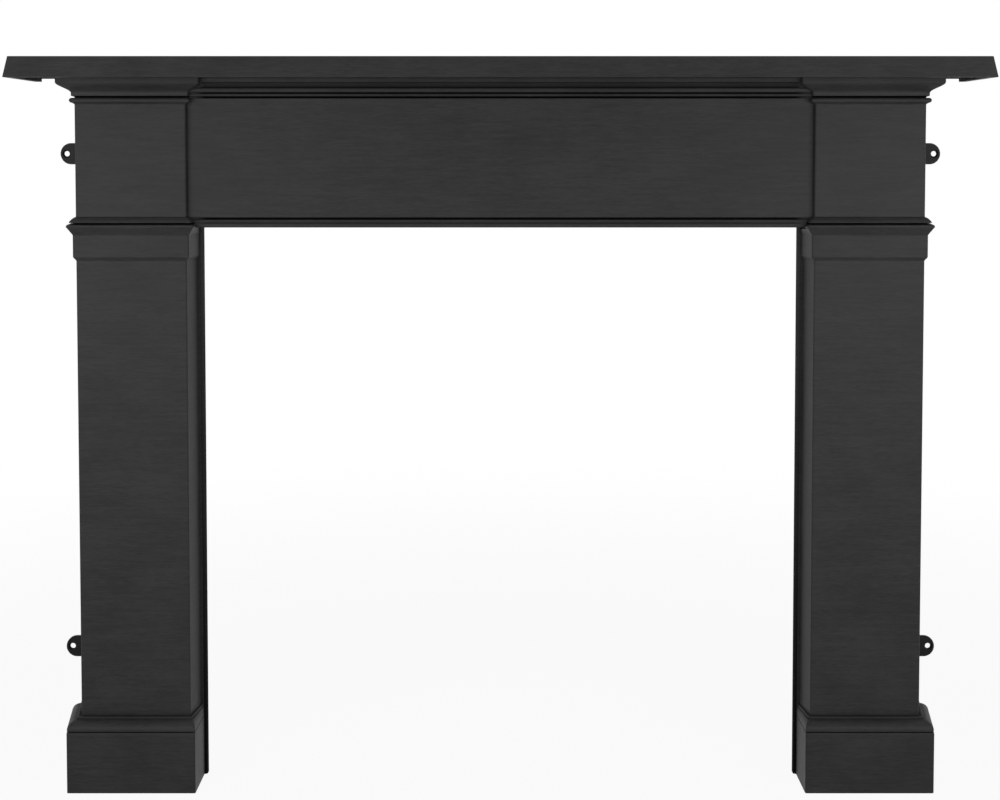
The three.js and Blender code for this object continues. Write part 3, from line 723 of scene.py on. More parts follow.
@dataclass(frozen=True)
class Layout:
    """Where the castings meet."""

    opening_width: float = 990.0
    opening_height: float = 927.0
    header_height: float = 245.0
    header_setback: float = 12.0
    leg_width: float = 180.5
    leg_depth: float = 80.0
    leg_reveal: float = 16.5
    shelf_depth: float = 205.0
    shelf_edge: float = 33.0
    shelf_edge_drop: float = 5.0
    shelf_overhang: float = 83.0
    shelf_bolt_from_wall: float = 45.0
    shelf_bolt_from_edge: float = 17.0
    header_bolt_from_wall: float = 38.0
    upper_lug_drop: float = 124.5
    flange: float = 7.0
    joint: float = 0.3
    boss: float = 13.0
    boss_flare: float = 4.0
    boss_fillet: float = 3.0
    bolt_hole: float = 5.3
    rib_pitch: float = 140.0

    @property
    def back_y(self) -> float:
        """The wall's plane."""
        return self.shelf_depth / 2

    @property
    def face_y(self) -> float:
        """The front of the legs' shafts."""
        return self.back_y - self.leg_depth

    @property
    def panel_y(self) -> float:
        """The front of the header's panel."""
        return self.face_y + self.header_setback

    @property
    def inner_x(self) -> float:
        """The legs' inner faces."""
        return self.opening_width / 2 + self.leg_reveal

    @property
    def outer_x(self) -> float:
        """The legs' outer faces, at their front."""
        return self.inner_x + self.leg_width

    @property
    def under_shelf_z(self) -> float:
        """The top of the legs and the header."""
        return self.opening_height + self.header_height

    @property
    def flange_foot_z(self) -> float:
        """The underside of the flanges that the shelf is bolted to."""
        return self.under_shelf_z - self.flange

    @property
    def shelf_bolt_y(self) -> float:
        """The line of the bolts that hold the shelf."""
        return self.back_y - self.shelf_bolt_from_wall

    @property
    def shelf_bolt_xs(self) -> dict[str, float]:
        """The shelf's bolts on the right-hand side, by the casting that they come up through."""
        return {"leg": self.outer_x - self.shelf_bolt_from_edge, "header": 2 * self.rib_pitch}

    @property
    def header_bolt_y(self) -> float:
        """The line of the bolts between the header and a leg."""
        return self.back_y - self.header_bolt_from_wall

    @property
    def header_bolt_zs(self) -> dict[str, float]:
        """The header's bolts at each end, by level."""
        return {"lower": 991.0, "upper": 1087.9}

    @property
    def lug_zs(self) -> dict[str, float]:
        """The middles of the wall lugs, by level."""
        return {"lower": 216.5, "upper": self.under_shelf_z - self.upper_lug_drop}

    def flange_bore(self, casting: str) -> Surface:
        """The tool for the shelf bolt's hole in the right-hand flange of a casting."""
        start = (self.shelf_bolt_xs[casting], self.shelf_bolt_y, self.flange_foot_z - OVERCUT)
        return bore(self.bolt_hole, start, self.flange + 2 * OVERCUT, Heading.UP)


# ---- Wall lugs ----


@dataclass(frozen=True)
class WallLug:
    """A flat ear with a round end, a countersunk hole for the wall and a set screw's hole."""

    layout: Layout = Layout()
    height: float = 35.4
    thickness: float = 5.0
    reach: float = 41.0
    tail: float = 28.0
    tail_corner: float = 2.0
    hole: float = 4.5
    countersink: float = 7.0
    countersink_depth: float = 2.5
    hole_from_tip: float = 10.3
    screw_inset: float = 12.0
    screw_hole: float = 4.3
    arris: float = 0.7

    @property
    def screw_x(self) -> float:
        """The set screws on the right-hand side."""
        return self.layout.outer_x - self.screw_inset

    def plate(self) -> Surface:
        """The ear without its holes, drawn for the right-hand side at height zero."""
        half, corner = self.height / 2, self.tail_corner
        tail_x, centre_x = self.layout.outer_x - self.tail, self.layout.outer_x + self.reach - half
        angle = np.linspace(-np.pi / 2, np.pi / 2, 41)
        tip = np.stack((half * np.sin(angle), centre_x + half * np.cos(angle)), axis=-1)
        marked = [(half, centre_x, 0), (half, tail_x, corner)]
        marked += [(-half, tail_x, corner), (-half, centre_x, 0)]
        outline = np.vstack((tip, softened(marked)[1:-1]))[::-1]
        levels = soft_levels(-self.thickness, 0, self.arris)
        return prism(outline, levels, Heading.BACK, (0, self.layout.back_y, 0))

    def holes(self) -> Surface:
        """The tools that make both holes."""
        front = self.layout.back_y - self.thickness
        tip = self.layout.outer_x + self.reach - self.hole_from_tip
        flare = self.hole - self.countersink
        levels = [(flare - 1, -1), (flare, 0)]
        levels += [(0, self.countersink_depth), (0, self.thickness + OVERCUT)]
        wall_hole = prism(circle(self.hole), levels, Heading.BACK, (tip, front, 0))
        start = (self.screw_x, front - OVERCUT, 0)
        return wall_hole + bore(self.screw_hole, start, 3 * OVERCUT, Heading.BACK)

    def build(self, hand: Hand, level: str, z: float, dressing: Dressing) -> None:
        """Makes one lug and puts it on the frame."""
        up = (0, 0, z)
        holes = Stage(Cut.REMOVE, self.holes().moved(up).on(hand), Skin.FACE)
        name = f"{hand.label}_{level}_wall"
        thing = machined(f"{name}_ear", self.plate().moved(up).on(hand), [holes])
        dressing.dress(thing, f"{name}_lug", (LUG_PAINT,))


# ---- Legs ----


@dataclass(frozen=True)
class Plinth:
    """The foot of a leg. Its profile is drawn for the front and is narrower on the sides.

    `shaft_rows` are heights above it at which the shaft has a row of points of its own.
    """

    height: float = 121.0
    front: float = 29.0
    outer: float = 19.0
    inner: float = 11.5
    ledge: float = 8.7
    nose: float = 28.13
    quirk: float = 23.68
    fillet: float = 3.5
    ovolo: float = 13.0
    nose_height: float = 2.5
    quirk_height: float = 1.5
    arris: float = 3.0
    shaft_rows: tuple[float, float] = (3.0, 8.0)

    def profile(self) -> Array:
        """Rows (out, z, rounding) from the floor up.

        The ovolo is a quarter of an ellipse: out = ledge + (nose - ledge) cos a and
        z = foot + height sin a.
        """
        ovolo_foot = self.height - self.fillet - self.ovolo
        block_top = ovolo_foot - self.nose_height - self.quirk_height
        angle = quarter(15)
        out = self.ledge + (self.nose - self.ledge) * np.cos(angle)
        rise = ovolo_foot + self.ovolo * np.sin(angle)
        block = [
            Step(self.front - END_INSET, 0.0, 0.0),
            Step(self.front, 0.0, 0.8),
            Step(self.front, block_top, self.arris),
            Step(self.quirk),
            Step(self.quirk, self.quirk_height),
            Step(self.nose, 0.0, 0.7),
        ]
        ledge = [Step(self.ledge, 0.0, 0.7), Step(0.0, 0.0, 1.2)]
        # Rows just above the ledge, where the ledge's painted shade fades out up the shaft.
        shaft = [(0.0, self.height + row, 0.0) for row in self.shaft_rows]
        ovolo = np.stack((out, rise, np.zeros_like(out)), axis=-1)
        return np.vstack((stacked(0.0, block), ovolo, stacked(self.height, ledge), shaft))


@dataclass(frozen=True)
class Capital:
    """The moulding between the shaft and the upper block."""

    top: float = 945.0
    neck: float = 9.8
    neck_height: float = 9.6
    neck_bulge: float = 1.4
    quirk: float = 3.5
    quirk_height: float = 3.2
    nose: float = 13.5
    nose_height: float = 5.6
    nose_bulge: float = 1.5
    slope: float = 11.4
    band: float = 4.5
    band_height: float = 36.2
    chamfer: float = 5.7

    def profile(self) -> Array:
        """Rows (out, z, rounding) from the shaft up."""
        edge = self.nose - self.nose_bulge
        steps = [
            Step(0.0, 0.0, 1.0),
            Step(self.band, self.chamfer, 1.0),
            Step(self.band, self.band_height, 1.0),
            Step(edge, self.slope, 0.4),
            Step(edge, self.nose_height, 0.4, self.nose_bulge),
            Step(self.quirk),
            Step(self.quirk, self.quirk_height),
            Step(self.neck, 0.0, 0.5),
            Step(0.0, self.neck_height, 1.0, self.neck_bulge),
        ]
        return hung(self.top, steps)


@dataclass(frozen=True)
class Crown:
    """The moulding under the shelf."""

    top: float = 1172.0
    out: float = 25.5
    nose_round: float = 3.0
    nose_height: float = 9.0
    ogee: float = 17.0
    lip: float = 4.7
    lip_height: float = 4.5
    quirk: float = 0.0
    quirk_height: float = 3.2
    bead: float = 3.5
    bead_height: float = 8.0
    bead_bulge: float = 3.9
    foot: float = 2.4

    @property
    def height(self) -> float:
        """From the upper block to the shelf."""
        heights = (self.nose_height, self.ogee, self.lip_height, self.quirk_height)
        return sum(heights) + self.bead_height + self.foot

    def profile(self) -> Array:
        """Rows (out, z, rounding) from the upper block up.

        The ogee is half a cosine wave: out = lip + (nose - lip)(1 - cos(pi s)) / 2 as s goes from
        0 at its foot to 1 at its top.
        """
        lip_top = self.top - self.nose_height - self.ogee
        below = [
            Step(0.0, 0.0, 0.8),
            Step(self.bead, self.foot),
            Step(self.bead, self.bead_height, 0.2, self.bead_bulge, LARGE_ARC),
            Step(self.quirk, 0.0, 0.2),
            Step(self.quirk, self.quirk_height),
            Step(self.lip, 0.0, 0.6),
        ]
        share = np.linspace(0, 1, 25)
        wave = self.lip + (self.out - self.lip) * (1 - np.cos(np.pi * share)) / 2
        ogee = np.stack((wave, lip_top + self.ogee * share, np.zeros_like(wave)), axis=-1)
        nose = [Step(self.out, 0.0, self.nose_round), Step(self.out - END_INSET, 0.0, 0.0)]
        foot = hung(lip_top - self.lip_height, below)
        return np.vstack((foot, ogee, stacked(self.top, nose)))


@dataclass
class Leg:
    """One leg: an open-backed casting of plinth, shaft, capital, upper block and crown."""

    layout: Layout = Layout()
    plinth: Plinth = Plinth()
    capital: Capital = Capital()
    crown: Crown = Crown()
    lug: WallLug = WallLug()
    wall: float = 7.0
    outer_draft: float = 8.0
    inner_draft: float = 6.0
    corner: float = 3.0
    hollow_fillet: float = 4.0
    slip_radius: float = 4.8
    slip_depth: float = 14.8
    slip_cover: float = 5.0
    pad_thickness: float = 8.0
    pad_height: float = 40.0
    pad_reach: float = 30.0
    pad_corner: float = 2.5
    pad_arris: float = 0.8
    notch_corner: float = 0.6
    boss_height: float = 12.0
    boss_arris: float = 1.5
    bolt_hole_depth: float = 17.0

    def stations(self, profile: Array) -> Array:
        """Rows (z, front, outer, inner) for a profile of rows (out, z, ...)."""
        out, z = profile[:, 0], profile[:, 1]
        plinth = self.plinth
        low = z < plinth.height + plinth.shaft_rows[0] / 2
        outer = out * np.where(low, plinth.outer / plinth.front, 1.0)
        inner = out * np.where(low, plinth.inner / plinth.front, 1.0)
        return np.stack((z, out, outer, inner), axis=-1)

    def rings(self, stations: Array, grow: float, back_y: float) -> Array:
        """Level outlines of the right leg, one for each station.

        The outer side spreads towards the wall by the tangent of its draft. The inner side does
        so below the top of the opening, no further than the slip. The front corners are quarter
        circles.

        Args:
            stations: Rows (z, front, outer, inner).
            grow: How far every side is moved outwards.
            back_y: Where the outlines end.

        Returns:
            Points of shape (stations, points, 3).
        """
        layout = self.layout
        z, front, outer, inner = stations.T[..., None]
        front_y = layout.face_y - front - grow
        outer_x, inner_x = layout.outer_x + outer + grow, layout.inner_x - inner - grow
        depth = back_y - front_y
        slip_x = layout.opening_width / 2 + self.slip_cover - grow
        slope = np.where(z < layout.opening_height, math.tan(math.radians(self.inner_draft)), 0)
        inner_back = np.minimum(inner_x, np.maximum(slip_x, inner_x - slope * depth))
        outer_back = outer_x + depth * math.tan(math.radians(self.outer_draft))
        angle = quarter(9)[None]
        across, along = self.corner * (1 - np.cos(angle)), self.corner * (1 - np.sin(angle))
        xs = (inner_back, inner_x + across, outer_x - across[:, ::-1], outer_back)
        edge_y = np.full_like(z, back_y)
        ys = (edge_y, front_y + along, front_y + along[:, ::-1], edge_y)
        x, y = np.hstack(xs), np.hstack(ys)
        return np.stack((x, y, np.broadcast_to(z, x.shape)), axis=-1)

    def corners(self) -> Array:
        """The whole leg's profile, before its corners are rounded."""
        return np.vstack([part.profile() for part in (self.plinth, self.capital, self.crown)])

    def envelope(self) -> Surface:
        """What another casting is cut back by to fit against the right leg.

        The ledges and quirks are bridged: a point goes if a neighbour at its height stands
        further out.
        """
        corners = self.corners()[:-1]
        hidden = np.zeros(len(corners), bool)
        for turn in (1, -1):
            beside = np.roll(corners, turn, axis=0)
            hidden |= (beside[:, 1] == corners[:, 1]) & (beside[:, 0] > corners[:, 0])
        kept = corners[~hidden]
        stations = self.stations(np.vstack((kept, kept[-1:] + (0.0, OVERCUT, 0.0))))
        return lofted(self.rings(stations, self.layout.joint, self.layout.back_y + OVERCUT))

    def hollow(self) -> Surface:
        """The space behind the right leg, open at the wall and the floor."""
        plinth, crown, fillet = self.plinth, self.crown, self.hollow_fillet
        wide = (plinth.front, plinth.outer, plinth.inner)
        ledge_foot = plinth.height - self.wall
        half, opening_top = crown.out / 2, self.layout.opening_height
        marked = [
            (-OVERCUT, *wide, 0.0),
            (ledge_foot - plinth.ovolo, *wide, fillet),
            (ledge_foot, 0.0, 0.0, 0.0, fillet),
            (opening_top - self.wall, 0.0, 0.0, 0.0, 0.0),
            (opening_top, 0.0, 0.0, 0.0, 0.0),
            (crown.top - crown.height / 2, 0.0, 0.0, 0.0, fillet),
            (crown.top - self.layout.flange, half, half, 0.0, 0.0),
        ]
        return lofted(self.rings(softened(marked), -self.wall, self.layout.back_y + OVERCUT))

    def slip(self) -> Surface:
        """The bead and flange beside the opening, drawn in plan and carried up."""
        edge, back = self.layout.opening_width / 2, self.layout.back_y
        nose_y = back - self.slip_depth + self.slip_radius
        angle = np.pi + quarter(15)
        bead_x = edge + self.slip_radius * (1 + np.cos(angle))
        bead_y = nose_y + self.slip_radius * np.sin(angle)
        bead = np.stack((bead_x, bead_y), axis=-1)
        inner = self.layout.inner_x + 1
        outline = np.vstack(((edge, back), bead, (inner, bead_y[-1]), (inner, back)))
        top = self.layout.opening_height - self.layout.joint
        return prism(outline, [(0, 0), (0, top)], Heading.UP)

    def lug_pad(self, z: float) -> Surface:
        """A pad inside the outer wall that a wall lug is screwed against."""
        layout, half = self.layout, self.pad_height / 2
        front = layout.back_y - self.lug.thickness - layout.joint - self.pad_thickness
        wall_inside = layout.outer_x + layout.leg_depth * math.tan(math.radians(self.outer_draft))
        low = (z - half, layout.outer_x - self.pad_reach)
        outline = rectangle(low, (z + half, wall_inside - self.wall / 2), self.pad_corner)
        levels = soft_levels(0, self.pad_thickness, self.pad_arris)
        return prism(outline, levels, Heading.BACK, (0, front, 0))

    def lug_notch(self, z: float) -> Surface:
        """The notch in the outer wall that a wall lug leaves through."""
        layout, lug = self.layout, self.lug
        half = lug.height / 2 + layout.joint
        low = (z - half, layout.outer_x - self.pad_reach)
        outline = rectangle(low, (z + half, layout.outer_x + lug.reach), self.notch_corner)
        levels = [(0, -lug.thickness - layout.joint), (0, OVERCUT)]
        return prism(outline, levels, Heading.BACK, (0, layout.back_y, 0))

    def header_boss(self, z: float) -> Surface:
        """A boss inside the inner wall that a header bolt is screwed into."""
        layout, wall = self.layout, self.wall
        flare, tip = layout.boss_flare, wall + self.boss_height
        marked = [(-flare, wall / 2, 0), (-flare, wall, 0), (0, wall + flare, layout.boss_fillet)]
        marked += [(0, tip, self.boss_arris), (flare, tip, 0)]
        origin = (layout.inner_x, layout.header_bolt_y, z)
        return prism(circle(layout.boss), softened(marked), Heading.RIGHT, origin)

    def holes(self) -> Surface:
        """The bolt and screw holes of the right leg."""
        layout, lug = self.layout, self.lug
        pad_front = layout.back_y - lug.thickness - self.pad_thickness
        cuts = [layout.flange_bore("leg")]
        for z in layout.header_bolt_zs.values():
            start = (layout.inner_x - OVERCUT, layout.header_bolt_y, z)
            depth = OVERCUT + self.bolt_hole_depth
            cuts.append(bore(layout.bolt_hole, start, depth, Heading.RIGHT))
        for z in layout.lug_zs.values():
            start = (lug.screw_x, pad_front - OVERCUT, z)
            depth = self.pad_thickness + 2 * OVERCUT
            cuts.append(bore(lug.screw_hole, start, depth, Heading.BACK))
        return together(cuts)

    def build(self, hand: Hand, dressing: Dressing) -> None:
        """Makes the leg of one side and puts it on the frame."""
        layout = self.layout
        profile = softened(self.corners())
        rings = self.rings(self.stations(profile), 0, layout.back_y)
        body = lofted(rings)
        # Painted shade along the mouldings, darkest in their grooves and hollows.
        body.shade = np.repeat(painted_groove_shade(profile), rings.shape[1])
        lug_zs, bolt_zs = layout.lug_zs.values(), layout.header_bolt_zs.values()
        pads = together([self.lug_pad(z) for z in lug_zs])
        notches = together([self.lug_notch(z) for z in lug_zs])
        bosses = together([self.header_boss(z) for z in bolt_zs])
        stages = [
            Stage(Cut.REMOVE, self.hollow().on(hand)),
            Stage(Cut.JOIN, self.slip().on(hand), Skin.FACE),
            Stage(Cut.JOIN, (pads + bosses).on(hand)),
            Stage(Cut.REMOVE, notches.on(hand)),
            Stage(Cut.REMOVE, self.holes().on(hand)),
        ]
        thing = machined(f"{hand.label}_leg_casting", body.on(hand), stages)
        dressing.casting(thing, f"{hand.label}_leg")


# ---- Header ----


@dataclass(frozen=True)
class HeaderCrown:
    """The moulding along the header's top. Its projections are from the panel."""

    nose: float = 22.0
    nose_height: float = 8.5
    nose_round: float = 3.0
    cove: float = 7.5
    cove_height: float = 8.6
    cove_hollow: float = 4.6
    roll_height: float = 7.5
    roll_bulge: float = 3.4
    quirk: float = 4.0
    quirk_height: float = 2.2
    bead: float = 5.0
    bead_height: float = 4.0
    bead_bulge: float = 2.0
    groove_depth: float = 2.5
    groove_height: float = 3.5

    def profile(self, top: float) -> Array:
        """Rows (out, z, rounding) from the panel up to `top`."""
        steps = [
            Step(0.0, 0.0, 0.5),
            Step(-self.groove_depth),
            Step(-self.groove_depth, self.groove_height),
            Step(self.bead),
            Step(self.bead, self.bead_height, 0.2, self.bead_bulge),
            Step(self.quirk, 0.0, 0.2),
            Step(self.quirk, self.quirk_height),
            Step(self.cove),
            Step(self.cove, self.roll_height, 0.3, self.roll_bulge, LARGE_ARC),
            Step(self.nose, self.cove_height, 0.6, -self.cove_hollow, LARGE_ARC),
            Step(self.nose, self.nose_height, self.nose_round),
        ]
        return hung(top, steps)


@dataclass(frozen=True)
class Strip:
    """The fillet and bead along the header's lower edge."""

    fillet: float = 0.5
    fillet_height: float = 5.8
    rounding: float = 1.6
    hollow_depth: float = 0.9
    hollow_height: float = 2.6
    bead_depth: float = 0.8
    bead_height: float = 4.6
    bead_bulge: float = 2.0
    groove_depth: float = 4.0
    groove_height: float = 3.6

    def profile(self, foot: float) -> Array:
        """Rows (out, z, rounding) from `foot` up to the panel."""
        steps = [
            Step(self.fillet, 0.0, self.rounding),
            Step(self.fillet, self.fillet_height, 0.4),
            Step(-self.hollow_depth),
            Step(-self.hollow_depth, self.hollow_height, 0.2),
            Step(-self.bead_depth, 0.0, 0.2),
            Step(-self.bead_depth, self.bead_height, 0.3, self.bead_bulge),
            Step(-self.groove_depth),
            Step(-self.groove_depth, self.groove_height),
            Step(0.0, 0.0, 0.5),
        ]
        return stacked(foot, steps)


@dataclass
class Header:
    """The casting over the opening: a panel with a crown and a strip, open at the back."""

    leg: Leg
    layout: Layout = Layout()
    crown: HeaderCrown = HeaderCrown()
    strip: Strip = Strip()
    wall: float = 6.0
    overrun: float = 4.0
    shaded_reach: float = 30.0
    plate_from_wall: float = 14.0
    plate_corner: float = 4.0
    plate_arris: float = 0.8
    plate_cap: float = 1.5
    back_arris: float = 0.6

    def body(self) -> Surface:
        """The front moulding closed by flat faces behind, carried along X past both ends."""
        layout, top = self.layout, self.layout.under_shelf_z
        front = np.vstack((self.strip.profile(layout.opening_height), self.crown.profile(top)))
        front[:, 0] = layout.panel_y - front[:, 0]
        behind = [(layout.back_y, z, self.back_arris) for z in (top, layout.opening_height)]
        outline = softened(np.vstack((front, behind)), closed=True)[::-1]
        # Levels `shaded_reach` inside each end carry the painted shade along the panel.
        reach, bare = layout.inner_x + self.overrun, layout.inner_x - self.shaded_reach
        levels = [(0, -reach), (0, -bare), (0, bare), (0, reach)]
        body = prism(outline, levels, Heading.RIGHT)
        # Painted shade only on the front mouldings.
        in_front = outline[:, 0] < layout.panel_y + self.wall
        shade = painted_groove_shade(outline * (-1, 1))
        body.shade = np.tile(np.where(in_front, shade, 0), len(levels))
        return body

    def channel(self) -> Surface:
        """The space behind the panel, between the soffit and the shelf's flange."""
        layout, crown = self.layout, self.crown
        inside, open_y = layout.panel_y + self.wall, layout.back_y + OVERCUT
        soffit, flange_foot = layout.opening_height + layout.flange, layout.flange_foot_z
        marked = [
            (open_y, soffit, 0.0),
            (open_y, flange_foot, 0.0),
            (layout.panel_y - crown.nose / 2, flange_foot, 3.0),
            (inside, flange_foot - crown.cove_height - crown.roll_height, 4.0),
            (inside, soffit, 3.0),
        ]
        reach = layout.inner_x + 2 * self.overrun
        return prism(softened(marked, closed=True), [(0, -reach), (0, reach)], Heading.RIGHT)

    def end_plate(self) -> Surface:
        """The plate at the right-hand end that is bolted against a leg."""
        layout, leg = self.layout, self.leg
        low = (layout.panel_y + self.wall / 2, leg.capital.top + layout.joint)
        head = layout.under_shelf_z - leg.crown.height - layout.joint
        outline = rectangle(low, (layout.back_y - self.plate_from_wall, head), self.plate_corner)
        thickness = layout.flange + self.overrun
        levels = softened([(self.plate_cap, 0, 0), (0, 0, self.plate_arris), (0, thickness, 0)])
        start = layout.inner_x - layout.joint - layout.flange
        return prism(outline, levels, Heading.RIGHT, (start, 0, 0))

    def holes(self) -> Surface:
        """The bolt holes of the right-hand half."""
        layout = self.layout
        cuts = [layout.flange_bore("header")]
        for z in layout.header_bolt_zs.values():
            start = (layout.inner_x - 3 * OVERCUT, layout.header_bolt_y, z)
            cuts.append(bore(layout.bolt_hole, start, 4 * OVERCUT, Heading.RIGHT))
        return together(cuts)

    def build(self, dressing: Dressing) -> None:
        """Makes the header and puts it on the frame."""
        plate, leg, holes = self.end_plate(), self.leg.envelope(), self.holes()
        stages = [
            Stage(Cut.REMOVE, self.channel()),
            Stage(Cut.JOIN, plate + plate.mirrored()),
            Stage(Cut.REMOVE, leg + leg.mirrored()),
            Stage(Cut.REMOVE, holes + holes.mirrored()),
        ]
        dressing.casting(machined("header_casting", self.body(), stages), "header")


# ---- Shelf ----


@dataclass
class Shelf:
    """The shelf: a tray with a leaning edge, ribbed inside, with bosses for its bolts."""

    layout: Layout = Layout()
    lean: float = 6.5
    arris: float = 0.9
    corner: float = 1.6
    plate: float = 6.0
    rim: float = 12.0
    tray_rim: float = 11.4
    back_rim: float = 8.0
    rib: float = 6.0
    hole_depth: float = 17.0
    draft: float = 0.7
    fillet: float = 3.0
    cell_corner: float = 8.0
    boss_arris: float = 0.8

    @property
    def half(self) -> float:
        """Half the shelf's length at its lower edge."""
        return self.layout.outer_x + self.layout.shelf_overhang

    @property
    def foot(self) -> float:
        """The lower edge of the rim, a little below the tops of the legs and the header."""
        return self.layout.under_shelf_z - self.layout.shelf_edge_drop

    @property
    def top(self) -> float:
        """The shelf's upper face."""
        return self.foot + self.layout.shelf_edge

    @property
    def ceiling(self) -> float:
        """The height of the spaces between the ribs."""
        return self.top - self.plate - self.layout.under_shelf_z

    def slab(self) -> Surface:
        """The shelf's outside: rounded rectangles whose front and ends lean in as they rise.

        At height z the inset of the front and the ends is lean (z - foot) / edge, plus the
        rounding of the arrises, which the wall side has too.
        """
        foot, edge, inner = self.foot, self.layout.shelf_edge, 8.0
        marked = [
            (inner, foot, 0.0),
            (0.0, foot, self.arris),
            (self.lean, self.top, self.arris),
            (self.lean + inner, self.top, 0.0),
        ]
        inset, z = softened(marked).T[..., None]
        back_inset = np.maximum(inset - self.lean * (z - foot) / edge, 0)
        end_x, front_y = self.half - inset, -self.layout.back_y + inset
        back_y = self.layout.back_y - back_inset
        angle = quarter(7)[None]
        across, along = self.corner * (1 - np.cos(angle)), self.corner * (1 - np.sin(angle))
        right_x = np.hstack((end_x - across[:, ::-1], end_x - across))
        right_y = np.hstack((front_y + along[:, ::-1], back_y - along))
        x = np.hstack((right_x, -right_x[:, ::-1]))
        y = np.hstack((right_y, right_y[:, ::-1]))
        return lofted(np.stack((x, y, np.broadcast_to(z, x.shape)), axis=-1))

    def hollow(
        self, low: tuple[float, float], high: tuple[float, float], levels: ArrayLike
    ) -> Surface:
        """A cutting tool with rounded corners, its heights from the tops of the legs."""
        outline = rectangle(low, high, self.cell_corner)
        return prism(outline, levels, Heading.UP, (0, 0, self.layout.under_shelf_z))

    def tray(self) -> Surface:
        """The space inside the rim that the legs and the header stand in, open at the wall."""
        rim, back = self.tray_rim, self.layout.back_y
        end, depth = self.half - rim, self.layout.shelf_edge_drop
        levels = [(-0.5, -depth - OVERCUT), (0, 0)]
        return self.hollow((-end, -back + rim), (end, back + 3 * OVERCUT), levels)

    def cells(self) -> Surface:
        """All the spaces between the ribs, with drafted walls and filleted ceilings.

        There is one row of them on each side of the rib that carries the bolts.
        """
        edge, ceiling = self.draft + self.fillet + 1, self.ceiling
        marked = [(-0.2, -OVERCUT, 0), (0, 0, 0)]
        marked += [(self.draft, ceiling, self.fillet), (edge, ceiling, 0)]
        levels = softened(marked)
        pitch, half_rib = self.layout.rib_pitch, self.rib / 2
        bolt_y, back = self.layout.shelf_bolt_y, self.layout.back_y
        end = self.half - self.rim
        count = int((end - self.rib) // pitch)
        ribs = np.arange(-count, count + 1) * pitch
        sides = zip(np.append(-end, ribs + half_rib), np.append(ribs - half_rib, end), strict=True)
        rows = ((-back + self.rim, bolt_y - half_rib), (bolt_y + half_rib, back - self.back_rim))
        return together(
            [
                self.hollow((left, near), (right, far), levels)
                for left, right in sides
                for near, far in rows
            ]
        )

    def boss(self, x: float) -> Surface:
        """A boss for one bolt, with a fillet where it meets the plate."""
        layout, ceiling, flare = self.layout, self.ceiling, self.layout.boss_flare
        marked = [(2, 0, 0), (0, 0, self.boss_arris), (0, ceiling - flare, layout.boss_fillet)]
        marked += [(-flare, ceiling, 0), (-flare, ceiling + self.plate / 2, 0)]
        origin = (x, layout.shelf_bolt_y, layout.under_shelf_z)
        return prism(circle(layout.boss), softened(marked), Heading.UP, origin)

    def hole(self, x: float) -> Surface:
        """The blind hole for one bolt."""
        layout = self.layout
        start = (x, layout.shelf_bolt_y, layout.under_shelf_z - OVERCUT)
        return bore(layout.bolt_hole, start, OVERCUT + self.hole_depth, Heading.UP)

    def build(self, dressing: Dressing) -> None:
        """Makes the shelf and puts it on the frame."""
        xs = [side.value * x for side in Hand for x in self.layout.shelf_bolt_xs.values()]
        stages = [
            Stage(Cut.REMOVE, self.tray()),
            Stage(Cut.REMOVE, self.cells()),
            Stage(Cut.JOIN, together([self.boss(x) for x in xs])),
            Stage(Cut.REMOVE, together([self.hole(x) for x in xs])),
        ]
        dressing.casting(machined("shelf_casting", self.slab(), stages), "shelf")


# ---- Fasteners ----


@dataclass(frozen=True)
class BoltSize:
    """A hexagon bolt and its washer."""

    shank: float
    across: float
    head: float
    washer_radius: float
    washer: float
    pitch: float
    head_top: float = 0.93
    head_chamfer: float = 30.0
    head_arris: float = 0.35
    thread_from: float = 0.25
    thread_depth: float = 0.348
    tip_chamfer: float = 1.0

    def under_head(self, joint: float) -> float:
        """What the washer and the gaps on both sides of it take up."""
        return self.washer + 2 * joint

    def bolt(self, length: float) -> Array:
        """Rings of points of a bolt along +Z, with the face under its head at zero.

        The head's radius at angle a is apothem / cos(((a + 30) mod 60) - 30 degrees), and a cone
        takes off its upper corners. The thread's radius is
        r - depth (1 - cos(2 pi (z / pitch - a / 2 pi))) / 2, fading out at both ends.
        """
        angle = np.linspace(0, 2 * np.pi, 48, endpoint=False)[None]
        apothem, sixth, cap = self.across / 2, np.pi / 3, self.head_top * self.across / 2
        hexagon = apothem / np.cos((angle + sixth / 2) % sixth - sixth / 2)
        chamfer = -self.head + (hexagon - cap) * math.tan(math.radians(self.head_chamfer))
        start = self.thread_from * length
        z = np.arange(start, length - 1.2, self.pitch / 6)[:, None]
        fade = np.clip((z - start) / 2, 0, 1) * np.clip((length - z) / 2.5, 0, 1)
        wave = (1 - np.cos(2 * np.pi * (z / self.pitch) - angle)) / 2
        rows = [
            (2.0, -self.head),
            (cap, -self.head),
            (hexagon, chamfer),
            (hexagon, -self.head_arris),
            (hexagon - 0.4, 0.0),
            (self.shank, 0.0),
            (self.shank, start - 0.3),
            (self.shank - self.thread_depth * self.pitch * fade * wave, z),
            (self.shank - 0.2, length - self.tip_chamfer),
            (self.shank - 1.1, length),
            (1.0, length),
        ]
        flat = np.ones_like(angle)
        radius, height = (np.vstack([flat * row[part] for row in rows]) for part in (0, 1))
        return np.stack((radius * np.cos(angle), radius * np.sin(angle), height), axis=-1)

    def ring(self, joint: float) -> Array:
        """Rings of points of a washer from zero up: a rounded section turned about Z."""
        inner, outer, top = self.shank + joint, self.washer_radius, self.washer
        marked = [(inner, 0, 0.2), (outer, 0, 0.4), (outer, top, 0.4), (inner, top, 0.2)]
        radius, z = softened(marked, closed=True).T[..., None]
        angle = np.linspace(0, 2 * np.pi, 64, endpoint=False)[None]
        height = np.broadcast_to(z, (len(z), angle.size))
        return np.stack((radius * np.cos(angle), radius * np.sin(angle), height), axis=-1)


